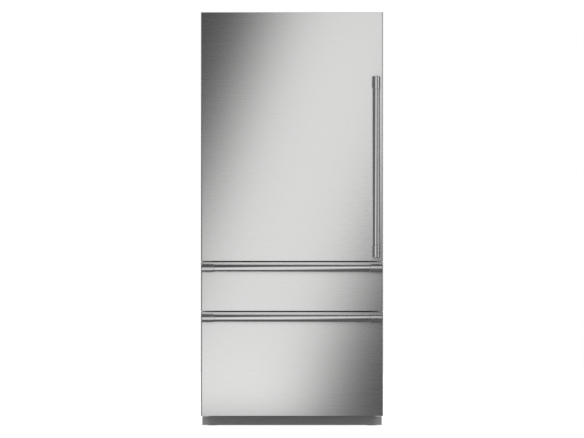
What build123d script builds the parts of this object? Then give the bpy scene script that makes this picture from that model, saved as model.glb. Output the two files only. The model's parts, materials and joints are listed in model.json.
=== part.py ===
from build123d import *
import math
import os

# Bottom freezer refrigerator: one left-hung door over two drawers, all behind full stainless
# panels.  Millimetres.  +X is the viewer's right, +Y runs from the fronts to the back, +Z is up.
# The origin is on the floor, under the middle of the whole object.

# ------------------------------------------------------------------ fronts, as the photograph shows
panel_width = 908.0  # each stainless panel, side to side
toe_height = 48.0  # floor to the lowest panel
lower_panel_height = 518.0
upper_panel_height = 243.0
door_panel_height = 1240.0
panel_gap = 6.0  # open joint between two panels
panel_depth = 19.0  # folded depth of a panel
panel_sheet = 1.2
side_fold_radius = 6.0  # long upright folds
edge_chamfer = 1.0  # top and bottom edges
backer_inset = 8.0  # stiffener inside a panel, clear of the folds

# ------------------------------------------------------------------ depth
body_depth = 610.0  # back of the case to the face of the panels
core_depth = 50.0  # insulated front behind a panel
core_side_inset = 6.0  # panel edge to the edge of the insulated front
core_corner_radius = 4.0
seal_gap = 8.0  # insulated front to the case

# ------------------------------------------------------------------ handles
handle_end_inset = 3.0  # panel edge to the end of a drawer's handle; the door's is as long
bar_diameter = 35.5
bar_wall = 2.0
sleeve_diameter = 40.0
sleeve_length = 62.0
sleeve_bore_depth = 52.0
sleeve_chamfer = 1.6
sleeve_clearance = 0.15  # bar to sleeve, all round
handle_reach = 46.0  # panel face to the middle of the bar
neck_foot_width = 30.0
neck_foot_length = 54.0
neck_top_width = 23.0
neck_top_length = 46.0
drawer_handle_drop = 30.0  # panel top to the middle of the bar
door_handle_inset = 34.0  # panel edge to the middle of the bar
door_handle_rise = 18.0  # panel bottom to the end of the handle

# ------------------------------------------------------------------ case
case_side_inset = 2.0  # panel edge to the case side
case_top_drop = 21.0  # panel top to the case top
case_bottom = 56.0  # floor to the underside of the case
case_sheet = 1.2
side_wall = 49.0  # outside of the case to the inside of a compartment
back_wall = 58.0
ceiling_wall = 52.0
opening_inset = 42.0  # panel edge to the compartment's opening, above and below
liner_wall = 2.0
liner_radius = 20.0
bay_depth = 230.0  # machine bay, at the bottom of the back
bay_top = 300.0
bay_wall = 45.0  # insulation between the bay and the freezer
base_sheet = 1.5
anti_tip_spacing = 400.0  # two screw holes in the case top
anti_tip_setback = 30.0
anti_tip_hole = 6.0
anti_tip_depth = 25.0

# ------------------------------------------------------------------ insulated fronts and seals
door_core_top_drop = 24.0  # panel top to the top of the insulated door
door_core_bottom_rise = 17.0
drawer_core_top_drop = 10.0
drawer_core_bottom_rise = 12.0
plug_depth = 13.0  # raised block on the back of a drawer front
plug_clearance = 7.0
plug_corner_radius = 10.0
seal_width = 20.0
seal_offset = 1.0  # opening to the seal
seal_touch = 0.3  # seal to the case
seal_base = 2.0
seal_head = 3.6
seal_neck_inset = 6.0
seal_head_inset = 3.0

# ------------------------------------------------------------------ hinges
hinge_inset = 18.0  # panel edge to the door's axis
hinge_setback = 25.0  # back of the panel to the door's axis
hinge_plate = 5.0
hinge_pin_diameter = 10.0
hinge_pin_length = 18.0  # inside the door
hinge_arm_radius = 12.0
hinge_foot_width = 70.0
hinge_foot_reach = 110.0  # over the case
hinge_foot_radius = 8.0
hinge_arm_relief = 2.0  # each side of the lower arm, behind its eye
hinge_flange_height = 26.0
hinge_flange_thickness = 3.0
hinge_flange_width = 56.0
bottom_hinge_gap = 4.0  # insulated door to the lower hinge
bush_diameter = 16.0
bush_flange_diameter = 24.0
bush_flange_gap = 0.3
bush_floor = 2.0  # end of the pin to the end of its bush
running_clearance = 0.05  # on the radius, pin to bore

# ------------------------------------------------------------------ door lining and bins
lining_inset = 2.0  # edge of the opening to the edge of the lining
dyke_side_clearance = 18.0  # compartment wall to the raised border of the door
dyke_end_clearance = 18.0
dyke_width = 20.0
dyke_depth = 43.0
dyke_corner_radius = 28.0
dyke_rim_radius = 7.0
door_sheet = 2.0
bin_count = 4
first_bin_rise = 53.0  # refrigerator floor to the lowest door bin
bin_pitch = 263.0
bin_height = 108.0
bin_depth = 104.0
bin_wall = 2.5
bin_lean = 12.0  # how far the front of a bin leans out
bin_side_gap = 1.5
bin_radius = 16.0
bin_rail_depth = 6.8  # front of the bin to the inner face of its thicker rail
bin_rail_height = 12.0
bin_rail_drop = 6.0
lug_height = 10.0
lug_reach = 26.0
lug_length = 60.0
lug_radius = 8.0
lug_root = 1.0  # how far a lug runs into the border that carries it

# ------------------------------------------------------------------ shelves and crispers
shelf_count = 3
low_shelf_rise = 477.0  # refrigerator floor to the top of the lowest glass shelf
shelf_pitch = 215.0
crisper_cover_rise = 229.0
shelf_front_gap = 12.0  # door bins to the shelves
shelf_back_gap = 30.0  # liner to the back of a shelf
shelf_side_gap = 3.0
shelf_thickness = 16.0
shelf_nose_radius = 5.0
shelf_front_band = 30.0
shelf_band = 16.0
glass_thickness = 4.0
glass_lap = 8.0
glass_fit = 0.4
rib_reach = 12.0
rib_height = 10.0
rib_front_inset = 15.0  # shelf front to the rib that carries it
rib_back_inset = 20.0
divider_thickness = 8.0
divider_setback = 12.0
bridge_width = 32.0  # strip over the divider, under the glass
crisper_height = 190.0
crisper_wall = 3.0
crisper_front_wall = 8.0
crisper_gap = 5.0
crisper_back_gap = 12.0  # back of the shelf above to the back of a crisper
crisper_lean = 18.0
crisper_radius = 18.0
pull_size = 14.0  # rolled pull along the top of a crisper
pull_radius = 6.0
pull_proud = 5.0
pull_end_length = 30.0  # closed stretch at each end of a pull

# ------------------------------------------------------------------ air tower, lights, controls
tower_width = 300.0
tower_depth = 24.0
tower_bottom_rise = 257.0  # refrigerator floor to the duct cover
tower_top_drop = 68.0
tower_side_radius = 14.0
tower_end_chamfer = 6.0
tower_wall = 4.0
vent_width = 110.0
vent_height = 8.0
vent_pitch = 18.0
vents_per_group = 3
vent_drop = 108.0  # shelf to the middle of the vents below it
vent_top_drop = 68.0  # top of the duct cover to the middle of its highest vents
lens_thickness = 5.0
lens_chamfer = 2.0
ceiling_lens_width = 420.0
ceiling_lens_depth = 34.0
side_lens_width = 18.0
lens_setback = 48.0  # case front to the lenses
controls_width = 340.0
controls_depth = 80.0
controls_height = 18.0
controls_front_height = 7.0
controls_slope = 24.0
controls_radius = 3.0
controls_setback = 110.0

# ------------------------------------------------------------------ drawer slides
rail_back_gap = 34.0  # back of the compartment to the slides
rail_sheet = 1.5
rail_height = 45.0
fixed_depth = 11.0  # fixed member, out from the wall
slide_depth = 13.0  # whole slide, out from the wall
rail_front_gap = 11.0  # case front to the fixed rails
rail_lip = 3.0
rail_clearance = 0.3
rail_end_gap = 2.5
rail_hole_diameter = 5.0
rail_holes = 2
middle_offset = 3.0  # wall to the middle member
runner_web_gap = 0.7  # middle member's web to the edges of the drawer member
ledge_width = 14.0
ledge_rise = 24.0  # middle of the slide to the top of the ledge
runner_foot_height = 40.0
runner_foot_sheet = 3.0
upper_slide_rise = 76.0  # compartment floor to the middle of the slide
lower_slide_rise = 310.0

# ------------------------------------------------------------------ drawer bins
tub_wall = 2.5
tub_floor_gap = 7.0
tub_front_gap = 0.5
tub_top_gap = 6.0
tub_wide_gap = 7.0
tub_narrow_gap = 1.0
upper_tub_back_gap = 50.0  # back of the compartment to the bin
lower_tub_back_gap = 8.0  # evaporator cover to the bin
tub_step_gap = 9.0
tub_step_lean = 12.0
tub_radius = 14.0
basket_travel = 150.0
basket_height = 76.0
basket_side_gap = 5.0
basket_end_gap = 4.0
basket_lean = 8.0
basket_radius = 12.0
basket_slots = 9
basket_rib = 24.0  # between two slots
basket_solid_end = 60.0  # each end of a slotted side, before the slots
basket_slot_height = 34.0

# ------------------------------------------------------------------ evaporator and the fans
cover_reach = 86.0  # back of the freezer to the face of the evaporator cover
cover_end_gap = 12.0
cover_side_gap = 30.0
cover_sheet = 3.0
cover_radius = 8.0
return_vent_width = 90.0
return_vents = 5
return_vent_inset = 83.0  # side of the cover to the middle of the outer vents
return_vent_pitch = 110.0
evaporator_depth = 34.0
evaporator_fins = 22
evaporator_inset = 48.0  # side of the cover to the coil
coil_inset = 12.0  # top and bottom of the cover to the coil
coil_plane = 8.0  # thickness of the tube plane that the fins stand out from
coil_tube = 9.0
fin_share = 0.15  # of the pitch that a fin takes
freezer_fan_radius = 52.0
fan_gap = 3.0  # cover or shroud to the fan
fan_tip_gap = 5.0
fan_hub_radius = 17.0
fan_hub_rim = 1.5  # hub past the blades, at each end
fan_hub_chamfer = 4.0
fan_blades = 5
fan_blade_share = 0.62  # of the angle between two blades
fan_root_share = 0.7  # width of a blade at the hub, of its width at the tip
fan_blade_pitch = 28.0
fan_blade_sheet = 1.6
fan_shaft_diameter = 5.0
motor_radius = 22.0
motor_depth = 16.0
motor_gap = 2.0
motor_arm = 10.0

# ------------------------------------------------------------------ machine bay
compressor_radius = 76.0
compressor_height = 178.0
compressor_inset = 182.0  # case side to the compressor's axis
shell_sheet = 4.0  # step at the seam of the two pressed shells
shell_seam_rise = 80.0
shell_seam_height = 6.0
shell_foot_inset = 30.0
shell_shoulder = 38.0  # top of the shell to its upright side
shell_crown_inset = 22.0
shell_crown_drop = 9.0
foot_sheet = 6.0
foot_radius = 14.0
terminal_width = 52.0
terminal_height = 50.0
terminal_depth = 34.0
terminal_proud = 22.0
stub_diameter = 9.0
stub_height = 18.0
grommet_height = 10.0
grommet_radius = 13.0
grommet_spacing = 150.0
shroud_inset = 342.0  # case side to the fan's shroud
shroud_size = 216.0
shroud_sheet = 2.0
shroud_gap = 8.0
shroud_nozzle = 10.0
shroud_foot = 24.0
condenser_fan_radius = 88.0
condenser_gap = 40.0
condenser_length = 330.0
condenser_depth = 150.0
condenser_height = 190.0
condenser_fins = 20
cover_slot_width = 120.0
cover_slot_height = 7.0
cover_slot_rows = 8
cover_slot_pitch = 24.0
cover_slot_columns = 4
cover_column_pitch = 150.0
cover_column_shift = 75.0  # middle of the slots, away from the compressor
inlet_inset = 72.0  # case side to the cord bushing
inlet_rise = 64.0
inlet_radius = 11.0
bushing_rim = 4.0
bushing_clearance = 0.2

# ------------------------------------------------------------------ base
rail_inset = 54.0  # case side to the middle of a base channel
channel_width = 34.0
channel_wall = 2.5
channel_bottom = 14.0
cross_depth = 26.0
roller_diameter = 40.0
roller_width = 22.0
roller_chamfer = 3.0
roller_inset = 48.0  # back of the case to the roller's axle
axle_diameter = 8.0
leg_inset = 44.0  # case front to the legs
leg_stem_diameter = 12.0
leg_stem_top_gap = 3.5
leg_pad_diameter = 44.0
leg_pad_height = 9.0
leg_pad_chamfer = 3.0
leg_hexagon_radius = 9.6
leg_hexagon_height = 15.0
leg_nut_size = 26.0
toe_kick_sheet = 1.5
toe_kick_reach = 3.0  # face of the plate, in front of the case
toe_kick_clearance = 2.0  # floor to the plate
toe_kick_top_gap = 2.0
toe_kick_side_inset = 4.0
toe_spacer_inset = 202.0  # case side to the middle of a spacer
toe_spacer_width = 40.0
toe_spacer_height = 16.0

cut = 1.0  # how far a cutting solid passes the face that it opens

# ------------------------------------------------------------------ worked out from the above
panel_half = panel_width / 2
handle_length = panel_width - 2 * handle_end_inset
total_depth = body_depth + handle_reach + sleeve_diameter / 2
y_back = total_depth / 2
y_face = y_back - body_depth
y_core = y_face + panel_depth
y_front_back = y_core + core_depth
y_case = y_front_back + seal_gap
y_handle = y_face - handle_reach

lower_z0 = toe_height
lower_z1 = lower_z0 + lower_panel_height
upper_z0 = lower_z1 + panel_gap
upper_z1 = upper_z0 + upper_panel_height
door_z0 = upper_z1 + panel_gap
door_z1 = door_z0 + door_panel_height

case_half = panel_half - case_side_inset
case_top = door_z1 - case_top_drop
room_half = case_half - side_wall
room_back = y_back - back_wall
fridge_floor = door_z0 + opening_inset
fridge_ceiling = case_top - ceiling_wall
middle_floor = upper_z0 + opening_inset
middle_ceiling = upper_z1 - opening_inset
freezer_floor = lower_z0 + opening_inset
freezer_ceiling = lower_z1 - opening_inset
foam_bottom = case_bottom + base_sheet
bay_front = y_back - bay_depth
step_y = bay_front - bay_wall
step_z = bay_top + bay_wall

core_half = panel_half - core_side_inset
door_core_z0 = door_z0 + door_core_bottom_rise
door_core_z1 = door_z1 - door_core_top_drop
hinge_x = -panel_half + hinge_inset
hinge_y = y_core + hinge_setback
bin_back = y_front_back + door_sheet
bin_front = bin_back + bin_depth


def block(x0, x1, y0, y1, z0, z1):
    """A plain block between two corners."""
    middle = Pos((x0 + x1) / 2, (y0 + y1) / 2, (z0 + z1) / 2)
    return middle * Box(x1 - x0, y1 - y0, z1 - z0)


def along_x(outline, x0, x1):
    """An outline drawn in Y and Z, carried from x0 to x1."""
    return extrude(Plane.YZ.offset(x0) * outline, x1 - x0)


def along_y(outline, y0, y1):
    """An outline drawn in X and Z, carried from y0 to y1."""
    return extrude(Plane.XZ.offset(-y1) * outline, y1 - y0)


def along_z(outline, z0, z1):
    """An outline drawn in X and Y, carried from z0 to z1."""
    return extrude(Plane.XY.offset(z0) * outline, z1 - z0)


def rod(x, y, z0, z1, radius):
    """An upright round rod."""
    return Pos(x, y, (z0 + z1) / 2) * Cylinder(radius, z1 - z0)


def polygon(*points):
    """A flat face through its corners."""
    return make_face(Polyline(*points, close=True))


def window(half, z0, z1, radius=0.0):
    """A rectangle about X = 0 between two heights, with rounded corners if asked."""
    size = (2 * half, z1 - z0)
    shape = RectangleRounded(*size, radius) if radius else Rectangle(*size)
    return Pos(0, (z0 + z1) / 2) * shape


def border(half, z0, z1, width, radius=0.0):
    """A flat frame whose outer edge is the window, width wide."""
    hole = window(half - width, z0 + width, z1 - width, max(radius - width, 0))
    return window(half, z0, z1, radius) - hole


def slot_field(x, z, size, pitch, counts):
    """Plain slots in columns and rows about a point, drawn in X and Z."""
    return [Pos(x, z) * place * Rectangle(*size) for place in GridLocations(*pitch, *counts)]


def both_sides(solid):
    """The solid and its mirror image across the middle of the object."""
    return [solid, mirror(solid, Plane.YZ)]


def group(solids):
    """Separate solids that are kept as one piece of the list."""
    return Compound(children=list(solids))


# ================================================================== panels and insulated fronts
def pan_plan(half, y0, radius):
    """Plan view of a folded panel: square at the back, rounded at both front corners."""
    shape = Pos(0, (y0 + y_core) / 2) * Rectangle(2 * half, y_core - y0)
    return fillet(shape.vertices().group_by(Axis.Y)[0], radius)


def make_panel(z0, z1):
    """One stainless panel: a sheet folded back all round and open behind."""
    skin = along_z(pan_plan(panel_half, y_face, side_fold_radius), z0, z1)
    front_edges = skin.edges().filter_by(lambda e: e.center().Y < y_core - panel_depth / 2)
    rims = front_edges.group_by(Axis.Z)
    skin = chamfer(rims[0] + rims[-1], edge_chamfer)
    hollow = pan_plan(panel_half - panel_sheet, y_face + panel_sheet, side_fold_radius - panel_sheet)
    return skin - along_z(hollow, z0 + panel_sheet, z1 - panel_sheet)


def front_core(panel_z0, panel_z1, core_z0, core_z1):
    """Insulated front: the stiffener inside the panel and the foam-filled body behind it."""
    stiffener = window(panel_half - backer_inset, panel_z0 + backer_inset, panel_z1 - backer_inset)
    body = window(core_half, core_z0, core_z1, core_corner_radius)
    return along_y(stiffener, y_face + panel_sheet, y_core) + along_y(body, y_core, y_front_back)


def drawer_front(panel_z0, panel_z1, opening_z0, opening_z1):
    """Insulated drawer front with the raised block that fills the opening."""
    core = front_core(panel_z0, panel_z1, panel_z0 + drawer_core_bottom_rise,
                      panel_z1 - drawer_core_top_drop)
    plug = window(room_half - plug_clearance, opening_z0 + plug_clearance, opening_z1 - plug_clearance,
                  plug_corner_radius)
    return core + along_y(plug, y_front_back, y_front_back + plug_depth)


def make_seal(opening_z0, opening_z1):
    """Magnetic seal round an opening: clip strip, bellows neck and magnet head."""
    y_neck = y_front_back + seal_base
    y_tip = y_case - seal_touch
    y_head = y_tip - seal_head

    def band(inset, y0, y1):
        grow = seal_offset + seal_width - inset
        frame = border(room_half + grow, opening_z0 - grow, opening_z1 + grow, seal_width - 2 * inset)
        return along_y(frame, y0, y1)

    strip = band(0, y_front_back, y_neck)
    neck = band(seal_neck_inset, y_neck, y_head)
    return strip + neck + band(seal_head_inset, y_head, y_tip)


# ================================================================== handles
def handle_bar():
    """Round tube along X, centred on the origin."""
    bare = sleeve_length - sleeve_bore_depth + sleeve_clearance
    half = handle_length / 2 - bare
    return along_x(Circle(bar_diameter / 2) - Circle(bar_diameter / 2 - bar_wall), -half, half)


def handle_posts():
    """Two end sleeves, each with the neck that stands it off the panel at Y = handle_reach."""
    end = handle_length / 2
    inner_end = end - sleeve_length
    sleeve = along_x(Circle(sleeve_diameter / 2), inner_end, end)
    sleeve = chamfer(sleeve.edges().filter_by(GeomType.CIRCLE), sleeve_chamfer)
    middle = Pos(end - sleeve_length / 2, 0)
    foot = middle * RectangleRounded(neck_foot_length, neck_foot_width, neck_foot_width / 3)
    top = middle * RectangleRounded(neck_top_length, neck_top_width, neck_top_width / 3)
    foot_face = (Plane.XZ.offset(-handle_reach) * foot).face()
    top_face = (Plane.XZ.offset(-bar_diameter / 4) * top).face()
    neck = loft([foot_face, top_face], ruled=True)
    bore = along_x(Circle(bar_diameter / 2 + sleeve_clearance), inner_end - cut,
                   inner_end + sleeve_bore_depth)
    return group(both_sides(sleeve + neck - bore))


def on_drawer(piece, panel_z1):
    """A handle piece set across the top of a drawer's panel."""
    return Pos(0, y_handle, panel_z1 - drawer_handle_drop) * piece


def on_door(piece):
    """A handle piece stood upright near the free edge of the door."""
    middle_z = door_z0 + door_handle_rise + handle_length / 2
    return Pos(panel_half - door_handle_inset, y_handle, middle_z) * Rot(0, 90, 0) * piece


# ================================================================== case
def room(z0, z1, grow=0.0):
    """The space of a compartment, grown on every side but the front."""
    outline = window(room_half + grow, z0 - grow, z1 + grow, liner_radius + grow)
    return along_y(outline, y_case, room_back + grow)


def freezer_room(grow=0.0):
    """The freezer's space: its floor steps up at the back, over the machine bay."""
    back = room_back + grow
    step = step_y + grow
    floor = freezer_floor - grow
    ceiling = freezer_ceiling + grow
    side_view = polygon((y_case, floor), (step, floor), (step, step_z - grow), (back, step_z - grow),
                        (back, ceiling), (y_case, ceiling))
    corners = side_view.vertices().filter_by(lambda v: v.X > y_case)
    return along_x(fillet(corners, liner_radius / 2), -room_half - grow, room_half + grow)


def anti_tip_holes():
    """Screw holes near the back of the case top, for the bracket that keeps it from tipping."""
    return [rod(x, y_back - anti_tip_setback, case_top - anti_tip_depth, case_top + cut, anti_tip_hole / 2)
            for x in (-anti_tip_spacing / 2, anti_tip_spacing / 2)]


def make_outer_case():
    """Sheet-steel wrapper: two sides and a top, turned in at the front for the seals to meet."""
    outline = window(case_half, case_bottom, case_top)
    wrap = outline - window(case_half - case_sheet, case_bottom - cut, case_top - case_sheet)
    lip = outline - window(room_half + liner_wall, case_bottom - cut, fridge_ceiling + liner_wall)
    return along_y(wrap, y_case, y_back) + along_y(lip, y_case, y_case + case_sheet) - anti_tip_holes()


def make_back_panel():
    sheet = window(case_half - case_sheet, bay_top, case_top - case_sheet)
    return along_y(sheet, y_back - case_sheet, y_back)


def make_insulation():
    """Foam that fills the case between the wrapper and the liners."""
    foam = along_y(window(case_half - case_sheet, foam_bottom, case_top - case_sheet),
                   y_case + case_sheet, y_back - case_sheet)
    bay = block(-case_half, case_half, bay_front, y_back, case_bottom, bay_top)
    rooms = [room(fridge_floor, fridge_ceiling, liner_wall), room(middle_floor, middle_ceiling, liner_wall),
             freezer_room(liner_wall)]
    return foam - bay - rooms - anti_tip_holes()


def make_mullion_rails():
    """Steel cross rails between the openings, level with the wrapper's front lip."""
    spans = [
        (case_bottom, freezer_floor - liner_wall),
        (freezer_ceiling + liner_wall, middle_floor - liner_wall),
        (middle_ceiling + liner_wall, fridge_floor - liner_wall),
    ]
    return group(along_y(window(room_half + liner_wall, z0, z1), y_case, y_case + case_sheet)
                 for z0, z1 in spans)


# ================================================================== shelves and crispers
shelf_tops = [fridge_floor + low_shelf_rise + k * shelf_pitch for k in range(shelf_count)]
crisper_top = fridge_floor + crisper_cover_rise
shelf_front = bin_front + shelf_front_gap
shelf_back = room_back - shelf_back_gap
shelf_half = room_half - shelf_side_gap


def make_fridge_liner():
    """Refrigerator liner with the moulded ribs that the shelves and the crisper cover rest on."""
    shell = room(fridge_floor, fridge_ceiling, liner_wall) - room(fridge_floor, fridge_ceiling)
    for top in (*shelf_tops, crisper_top):
        under = top - shelf_thickness
        rib = block(room_half - rib_reach, room_half + liner_wall / 2, shelf_front + rib_front_inset,
                    shelf_back - rib_back_inset, under - rib_height, under)
        low_edge = rib.edges().filter_by(Axis.Y).group_by(Axis.Z)[0].sort_by(Axis.X)[0]
        shell += both_sides(chamfer(low_edge, rib_height / 2))
    return shell


def make_middle_liner():
    return room(middle_floor, middle_ceiling, liner_wall) - room(middle_floor, middle_ceiling)


def make_freezer_liner():
    return freezer_room(liner_wall) - freezer_room()


def shelf_plan(front_inset, inset):
    """Plan rectangle of a shelf, inset from its edges."""
    y0 = shelf_front + front_inset
    y1 = shelf_back - inset
    return Pos(0, (y0 + y1) / 2) * Rectangle(2 * (shelf_half - inset), y1 - y0)


def shelf_frame(top):
    """Rim of a shelf: open in the middle, rebated for the glass, rounded along the front."""
    under = top - shelf_thickness
    rim = along_z(shelf_plan(0, 0), under, top)
    rim = fillet(rim.edges().filter_by(Axis.X).group_by(Axis.Y)[0], shelf_nose_radius)
    rebate = shelf_plan(shelf_front_band - glass_lap, shelf_band - glass_lap)
    rim -= along_z(rebate, top - glass_thickness, top)
    return rim - along_z(shelf_plan(shelf_front_band, shelf_band), under, top)


def shelf_pane(top):
    edge = glass_lap - glass_fit
    return along_z(shelf_plan(shelf_front_band - edge, shelf_band - edge), top - glass_thickness, top)


def make_crisper_cover():
    """Lowest shelf, with the divider that stands between the two crispers."""
    under = crisper_top - shelf_thickness
    half = divider_thickness / 2
    divider = block(-half, half, shelf_front + divider_setback, shelf_back, fridge_floor, under)
    half = bridge_width / 2
    bridge = block(-half, half, shelf_front + shelf_front_band - cut, shelf_back - shelf_band + cut, under,
                   crisper_top - glass_thickness)
    return shelf_frame(crisper_top) + divider + bridge


crisper_x0 = divider_thickness / 2 + crisper_gap / 2
crisper_x1 = room_half - crisper_gap
crisper_y0 = shelf_front + crisper_gap
crisper_y1 = shelf_back - crisper_back_gap


def crisper_form(inset, front_inset, lift):
    """The right crisper's outer or inner form: upright front, other sides drawn in to the foot."""
    x0, x1 = crisper_x0 + inset, crisper_x1 - inset
    y0, y1 = crisper_y0 + front_inset, crisper_y1 - inset
    width, depth = x1 - x0, y1 - y0
    radius = crisper_radius - inset
    middle = (x0 + x1) / 2
    foot = Pos(middle, (y0 + y1 - crisper_lean) / 2) * RectangleRounded(
        width - 2 * crisper_lean, depth - crisper_lean, radius)
    top = Pos(middle, (y0 + y1) / 2) * RectangleRounded(width, depth, radius)
    foot_face = (Plane.XY.offset(fridge_floor + inset) * foot).face()
    top_face = (Plane.XY.offset(fridge_floor + crisper_height + lift) * top).face()
    return loft([foot_face, top_face], ruled=True)


def make_crisper():
    """Clear crisper, as on the right, with a rolled pull along the top of its thick front."""
    shell = crisper_form(0, 0, 0) - crisper_form(crisper_wall, crisper_front_wall, cut)
    top = fridge_floor + crisper_height
    x0 = crisper_x0 + crisper_radius
    x1 = crisper_x1 - crisper_radius
    middle = Pos(crisper_y0 - pull_proud + pull_size / 2, top - pull_size / 2)
    pull = along_x(middle * RectangleRounded(pull_size, pull_size, pull_radius), x0, x1)
    pull -= block(x0 + pull_end_length, x1 - pull_end_length, crisper_y0 - pull_size, crisper_y0 + pull_size,
                  top - pull_size - cut, top - pull_size / 2)
    pull -= block(x0 - cut, x1 + cut, crisper_y0 + crisper_front_wall, crisper_y0 + 2 * pull_size,
                  top - pull_size - cut, top + cut)
    return shell + pull


# ================================================================== air tower, lights, controls
tower_z0 = fridge_floor + tower_bottom_rise
tower_z1 = fridge_ceiling - tower_top_drop


def make_air_tower():
    """Duct cover on the back wall with groups of vents between the shelves."""
    half = tower_width / 2
    rim = 2 * tower_wall
    y0 = room_back - tower_depth
    tower = block(-half, half, y0, room_back, tower_z0, tower_z1)
    tower = fillet(tower.edges().filter_by(Axis.Z).group_by(Axis.Y)[0], tower_side_radius)
    tower = chamfer(tower.edges().filter_by(Axis.X).group_by(Axis.Y)[0], tower_end_chamfer)
    tower -= block(rim - half, half - rim, y0 + tower_wall, room_back, tower_z0 + rim, tower_z1 - rim)
    for z in [top - vent_drop for top in shelf_tops] + [tower_z1 - vent_top_drop]:
        vents = slot_field(0, z, (vent_width, vent_height), (half, vent_pitch), (2, vents_per_group))
        tower -= [along_y(vent, y0 - cut, y0 + tower_wall + cut) for vent in vents]
    return tower


def make_light_lenses():
    """Diffusers: one across the ceiling and one up each side wall, near the door."""
    y0 = y_case + lens_setback
    half = ceiling_lens_width / 2
    ceiling = block(-half, half, y0, y0 + ceiling_lens_depth, fridge_ceiling - lens_thickness, fridge_ceiling)
    ceiling = chamfer(ceiling.edges().group_by(Axis.Z)[0], lens_chamfer)
    side = block(room_half - lens_thickness, room_half, y0, y0 + side_lens_width, tower_z0, tower_z1)
    side = chamfer(side.edges().group_by(Axis.X)[0], lens_chamfer)
    return group([ceiling, *both_sides(side)])


def make_control_panel():
    """Touch control housing under the ceiling, behind the lens: it has no keys that travel."""
    y0 = y_case + controls_setback
    y1 = y0 + controls_depth
    z0 = fridge_ceiling - controls_height
    side_view = polygon((y0, fridge_ceiling), (y0, fridge_ceiling - controls_front_height),
                        (y0 + controls_slope, z0), (y1, z0), (y1, fridge_ceiling))
    housing = along_x(side_view, -controls_width / 2, controls_width / 2)
    return fillet(housing.edges().filter_by(Axis.X).group_by(Axis.Z)[0], controls_radius)


# ================================================================== base, legs and rollers
rail_track = case_half - rail_inset
axle_y = y_back - roller_inset
axle_z = roller_diameter / 2
leg_y = y_case + leg_inset


def open_box(width, height):
    """Section of a channel that is open downwards, under the bottom of the case."""
    outer = Pos(0, case_bottom - height / 2) * Rectangle(width, height)
    inner = Pos(0, case_bottom - channel_wall - height / 2) * Rectangle(width - 2 * channel_wall, height)
    return outer - inner


def base_axle(length):
    """A round bar across the right-hand channel, where the roller turns."""
    return Pos(rail_track, axle_y, axle_z) * Rot(0, 90, 0) * Cylinder(axle_diameter / 2, length)


def make_base_frame():
    """Welded base: pan, two channels, two cross members, leg nuts and the bay's side plates."""
    inside = case_half - case_sheet
    y0, y1 = y_case + case_sheet, y_back - case_sheet
    half = channel_width / 2
    nut_half = leg_nut_size / 2
    height = case_bottom - channel_bottom
    frame = block(-inside, inside, y0, y1, case_bottom, foam_bottom)
    for y in (y0 + cross_depth / 2, bay_front):
        cross = Pos(y, 0) * open_box(cross_depth, height - channel_wall)
        frame += along_x(cross, half - rail_track, rail_track - half)
    channel = Pos(rail_track, 0, 0) * along_y(open_box(channel_width, height), y0, y1)
    nut = block(rail_track - half, rail_track + half, leg_y - nut_half, leg_y + nut_half,
                case_bottom - leg_nut_size, case_bottom)
    plate = block(inside - base_sheet, inside, bay_front, y1, case_bottom, bay_top)
    stem_hole = rod(rail_track, leg_y, 0, foam_bottom + cut, leg_stem_diameter / 2 + running_clearance)
    for piece in (channel, nut, plate):
        frame += both_sides(piece)
    for hole in (stem_hole, base_axle(channel_width + cut)):
        frame -= both_sides(hole)
    return group([frame, *both_sides(base_axle(channel_width))])


def make_roller(side):
    """Rear roller with a running bore."""
    radius = roller_diameter / 2
    bore = axle_diameter / 2 + running_clearance
    section = Pos(0, (bore + radius) / 2) * Rectangle(roller_width, radius - bore)
    section = chamfer(section.vertices().group_by(Axis.Y)[-1], roller_chamfer)
    return Pos(side * rail_track, axle_y, axle_z) * revolve(Plane.XY * section, Axis.X)


def make_leg(side):
    """Front levelling leg: pad, hexagon to turn it by, and stem up through the nut."""
    x = side * rail_track
    pad = rod(x, leg_y, 0, leg_pad_height, leg_pad_diameter / 2)
    pad = chamfer(pad.edges().group_by(Axis.Z)[-1], leg_pad_chamfer)
    hexagon = Pos(x, leg_y) * RegularPolygon(leg_hexagon_radius, 6)
    stem = rod(x, leg_y, leg_pad_height, foam_bottom - leg_stem_top_gap, leg_stem_diameter / 2)
    return pad + along_z(hexagon, leg_pad_height, leg_pad_height + leg_hexagon_height) + stem


def make_toe_kick():
    """Plain dark plate under the lowest drawer, on two spacers against the front cross member."""
    y0 = y_case - toe_kick_reach
    y1 = y0 + toe_kick_sheet
    x = case_half - toe_spacer_inset
    z = (channel_bottom + toe_height) / 2
    plate = window(case_half - toe_kick_side_inset, toe_kick_clearance, toe_height - toe_kick_top_gap)
    spacer = block(x - toe_spacer_width / 2, x + toe_spacer_width / 2, y1, y_case + case_sheet,
                   z - toe_spacer_height / 2, z + toe_spacer_height / 2)
    return along_y(plate, y0, y1) + both_sides(spacer)


# ================================================================== hinges
bottom_hinge_top = door_core_z0 - bottom_hinge_gap


def make_top_hinge():
    """Upper hinge: a plate on the case top whose arm carries the pin down into the door."""
    foot_x = hinge_x + hinge_foot_width / 2 - hinge_arm_radius
    foot_y = y_case + hinge_foot_reach - hinge_foot_width / 2
    plan = Pos(hinge_x, hinge_y) * Circle(hinge_arm_radius)
    plan += Pos(hinge_x, (hinge_y + foot_y) / 2) * Rectangle(2 * hinge_arm_radius, foot_y - hinge_y)
    plan += Pos(foot_x, foot_y) * RectangleRounded(hinge_foot_width, hinge_foot_width, hinge_foot_radius)
    pin = rod(hinge_x, hinge_y, door_core_z1 - hinge_pin_length, case_top, hinge_pin_diameter / 2)
    return along_z(plan, case_top, case_top + hinge_plate) + pin


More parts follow.
